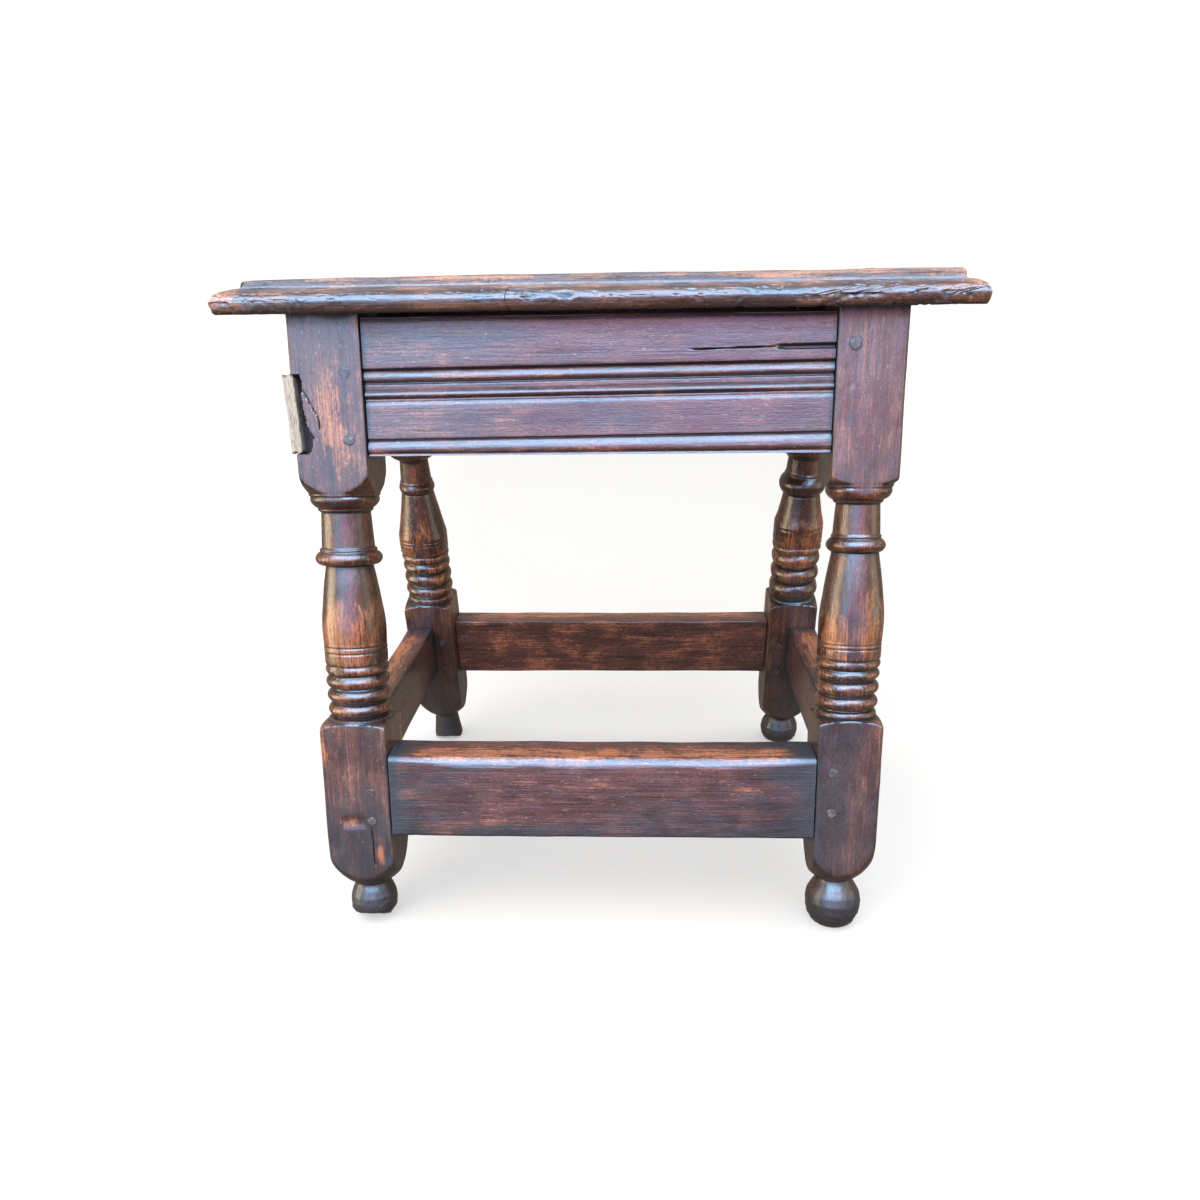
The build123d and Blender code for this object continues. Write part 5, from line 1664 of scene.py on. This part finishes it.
def make_slip():
    """The repair slip, a thin block with rough ends."""
    t = spaced((0, 1.0, 0.02))
    loop = []
    for start, stop, count in SLIP_SIDES:
        s = np.linspace(0, 1, count, endpoint=False)[:, None]
        loop.append(np.array(start) * (1 - s) + np.array(stop) * s)
    a, b = np.concatenate(loop).T
    x = a[None, :] * SLIP_THICK - SLIP_PROUD + 0 * t[:, None]
    y = b[None, :] * SLIP_WIDE + 0 * x
    ragged = 0.8 + 0.8 * roughen(np.stack([x, y, 0 * x], -1), (2.2, 3.0, 3.0), 501)
    end = ease(np.abs(t - 0.5), 0.44, 0.5)[:, None]
    z = (t[:, None] - 0.5) * (SLIP_TALL - 2 * np.maximum(ragged, 0) * end)
    spot = np.stack([x, y, z], -1)
    rough = 0.12 + 0.12 * roughen(spot, (2.5, 2.5, 16), 503)
    x = x - rough * np.sign(a - 0.5)[None, :] * (np.abs(a - 0.5) > 0.49)[None, :]
    y = np.maximum(y + rough * ((b < 0.01)[None, :]), 0.05)
    middle = SLIP_MIDDLE / UPRIGHT
    turned_x = x * math.cos(SLIP_TILT) - z * math.sin(SLIP_TILT)
    turned_z = x * math.sin(SLIP_TILT) + z * math.cos(SLIP_TILT)
    grid = FACES["front"].place(turned_x - LEG_SPAN / 2, y, turned_z + middle)
    grime_and_shade = 0.1 + 0.25 * roughen(spot, (4, 6, 18), 505) + 0.5 * end + 0.5 * ease(x, 2.0, 3.4)
    rubbed_and_painted_light = 0.25 + 0.4 * roughen(spot, (3, 5, 20), 507)
    looks = traits_of(np.stack([z, x + 11, y], -1), grime_and_shade, rubbed_and_painted_light, 0.6)
    return make_piece("leg_repair_slip_split", [(grid, looks)], "leg_repair_slip", slip_oak)


make_slip()

# %% [markdown]
# ## The floor
# The stool stands on a plain pale floor, big enough to fade into the pale room. Round the stool a
# soft shadow is painted on the floor, which glows less there and so looks greyer. It doesn't light
# the underside of the rails, which stay as dark as they are in a dim room.

# %% Floor
FLOOR_HALF = 14.0
FLOOR_GREY = (0.45, 0.45, 0.45, 1)
# The painted shadow, a greyer ellipse: its middle after squashing, inner and outer size, and glow
# there.
SHADOW_SQUASH = (1.0, 0.3, 1.0)
SHADOW_MIDDLE = (0.02, 0.62, 0.0)
SHADOW_REACH = (0.42, 0.95)
SHADOW_GLOW = (0.22, 0.66)


def make_floor():
    """A wide pale floor, lit a little from within so that shadows on it stay soft; round the stool it
    has a painted shadow.
    """
    mesh = bpy.data.meshes.new("floor")
    edge = FLOOR_HALF
    corners = [(-edge, -edge, 0), (edge, -edge, 0), (edge, edge, 0), (-edge, edge, 0)]
    mesh.from_pydata(corners, [], [(0, 1, 2, 3)])
    paint = bpy.data.materials.new("pale_floor_painted_shadow")
    paint.use_nodes = True
    tree = paint.node_tree
    shader = tree.nodes["Principled BSDF"]
    shader.inputs["Base Color"].default_value = FLOOR_GREY
    shader.inputs["Roughness"].default_value = 0.9
    shader.inputs["Specular IOR Level"].default_value = 0.1
    shader.inputs["Emission Color"].default_value = (1, 1, 1, 1)
    where = put(tree, "ShaderNodeNewGeometry").outputs["Position"]
    squashed = put(tree, "ShaderNodeMapping", {"Vector": where, "Scale": SHADOW_SQUASH}).outputs[0]
    ends = {0: squashed, 1: SHADOW_MIDDLE}
    away = put(tree, "ShaderNodeVectorMath", ends, operation="DISTANCE").outputs["Value"]
    glow_with_painted_shadow = stretch(tree, away, *SHADOW_REACH, *SHADOW_GLOW)
    tree.links.new(glow_with_painted_shadow, shader.inputs["Emission Strength"])
    mesh.materials.append(paint)
    floor = bpy.data.objects.new("floor", mesh)
    bpy.context.scene.collection.objects.link(floor)
    floor.visible_glossy = False
    floor.visible_diffuse = False


make_floor()

# %% [markdown]
# ## Light
# Waxed oak is mostly seen by what it reflects. Four soft sources stand low in front like the
# lower sky: blue at the left, rose in the middle, violet beside it and a weaker rose at the far
# right. Upright faces mirror these. Two broad blue ones higher up draw the light lines along the
# upper side of every moulding, a cream one at the left edges each turning, and a weak greenish
# one does so at the right. Two more shine only on the wood's own colour and not in the wax.

# %% Soft lights
MIDDLE_OF_STOOL = 0.25  # in metres, the height that the lights are turned to


def soft_light(name, bearing, height, distance, size, radiance, tint, shines=True):
    """A large light at degrees right of the front and up; it makes sheen, or fills in colour."""
    turn, lift = math.radians(bearing), math.radians(height)
    level = distance * math.cos(lift)
    up = MIDDLE_OF_STOOL + distance * math.sin(lift)
    place = Vector((level * math.sin(turn), -level * math.cos(turn), up))
    lamp = bpy.data.lights.new(name, "AREA")
    lamp.shape = "RECTANGLE"
    lamp.size, lamp.size_y = size
    lamp.energy = radiance * math.pi * size[0] * size[1]
    lamp.color = tint
    light = bpy.data.objects.new(name, lamp)
    light.location = place
    towards = Vector((0.0, 0.0, MIDDLE_OF_STOOL)) - place
    light.rotation_euler = towards.to_track_quat("-Z", "Y").to_euler()
    light.visible_camera = False
    light.visible_diffuse = not shines
    light.visible_glossy = shines
    bpy.context.scene.collection.objects.link(light)


soft_light("sky_left", -27, 14, 4.0, (2.7, 2.6), 5.6, (0.36, 0.62, 0.98))
soft_light("sky_middle", 0, 17, 4.0, (1.0, 2.2), 4.2, (1.0, 0.40, 0.74))
soft_light("sky_right", 9.5, 14, 4.0, (0.56, 2.6), 5.2, (0.60, 0.44, 0.92))
soft_light("sky_far_right", 30, 14, 4.0, (2.4, 2.4), 2.0, (1.0, 0.58, 0.66))
soft_light("sky_high", 0, 38, 4.0, (5.0, 1.6), 17.0, (0.28, 0.62, 1.0))
soft_light("sky_above", 0, 67, 4.0, (6.0, 3.8), 17.0, (0.40, 0.66, 1.0))
soft_light("cream_left", -76, 6, 3.0, (1.5, 2.0), 8.5, (1.0, 0.90, 0.66))
soft_light("green_right", 78, 6, 3.0, (1.6, 1.8), 2.2, (0.92, 1.0, 0.80))
soft_light("day_left", -50, 35, 3.0, (2.2, 2.0), 3.4, (1.0, 0.93, 0.84), shines=False)
soft_light("day_front", 0, 10, 3.5, (3.0, 2.2), 1.3, (1.0, 0.93, 0.86), shines=False)

# %% [markdown]
# ## The room
# The room is a plain pale surround. Seen directly it is white. As a source it is brightest
# overhead and dark below the floor, and it is darker still in reflections, so that only the soft
# sources shine in the wax.

# %% The room
room = bpy.data.worlds.new("pale_room")
room.use_nodes = True
bpy.context.scene.world = room
tree = room.node_tree
tree.nodes.clear()
rays = put(tree, "ShaderNodeLightPath")
direction = put(tree, "ShaderNodeTexCoord").outputs["Generated"]
level = put(tree, "ShaderNodeSeparateXYZ", {0: direction}).outputs["Z"]
seen = put(tree, "ShaderNodeBackground", {"Color": (1, 1, 1, 1), "Strength": 1.05})
lit = stretch(tree, level, -0.10, 0.75, 0.14, 1.75)
fills = put(tree, "ShaderNodeBackground", {"Color": (1.0, 0.98, 0.95, 1), "Strength": lit})
mirror = stretch(tree, level, -0.25, 0.30, 0.32, 0.42)
mirrored = put(tree, "ShaderNodeBackground", {"Color": (1.0, 0.86, 0.70, 1), "Strength": mirror})
mixed = put(tree, "ShaderNodeMixShader", {0: rays.outputs["Is Glossy Ray"]})
tree.links.new(fills.outputs[0], mixed.inputs[1])
tree.links.new(mirrored.outputs[0], mixed.inputs[2])
direct = put(tree, "ShaderNodeMixShader", {0: rays.outputs["Is Camera Ray"]})
tree.links.new(mixed.outputs[0], direct.inputs[1])
tree.links.new(seen.outputs[0], direct.inputs[2])
put(tree, "ShaderNodeOutputWorld", {"Surface": direct.outputs[0]})

# %% [markdown]
# ## The camera
# The stool is seen from the front, a little to the right, from just below the height of the seat
# and looking down. A wide lens close by makes the back legs smaller than the front ones.

# %% Camera
def aim_camera(place, pitch, yaw, roll, lens, shift):
    """A camera at a place in millimetres, with its angles in degrees."""
    pitch, yaw, roll = (math.radians(angle) for angle in (pitch, yaw, roll))
    level = math.cos(pitch)
    ahead = Vector((math.sin(yaw) * level, math.cos(yaw) * level, -math.sin(pitch)))
    right = Vector((math.cos(yaw), -math.sin(yaw), 0))
    down = ahead.cross(right)
    turned_right = right * math.cos(roll) + down * math.sin(roll)
    turned_down = down * math.cos(roll) - right * math.sin(roll)
    data = bpy.data.cameras.new("camera")
    data.lens, data.sensor_width = lens, 36.0
    data.shift_x, data.shift_y = shift
    camera = bpy.data.objects.new("camera", data)
    rows = [turned_right, -turned_down, -ahead]
    axes = Matrix([[row[i] for row in rows] for i in range(3)]).to_4x4()
    camera.matrix_world = Matrix.Translation(Vector(place) * MM) @ axes
    bpy.context.scene.collection.objects.link(camera)
    bpy.context.scene.camera = camera


aim_camera(
    place=(29.34, -746.61, 447.66),
    pitch=22.777,
    yaw=-2.485,
    roll=0.899,
    lens=28.0,
    shift=(-0.00176, 0.0636),
)
bpy.context.scene.view_settings.view_transform = "Standard"
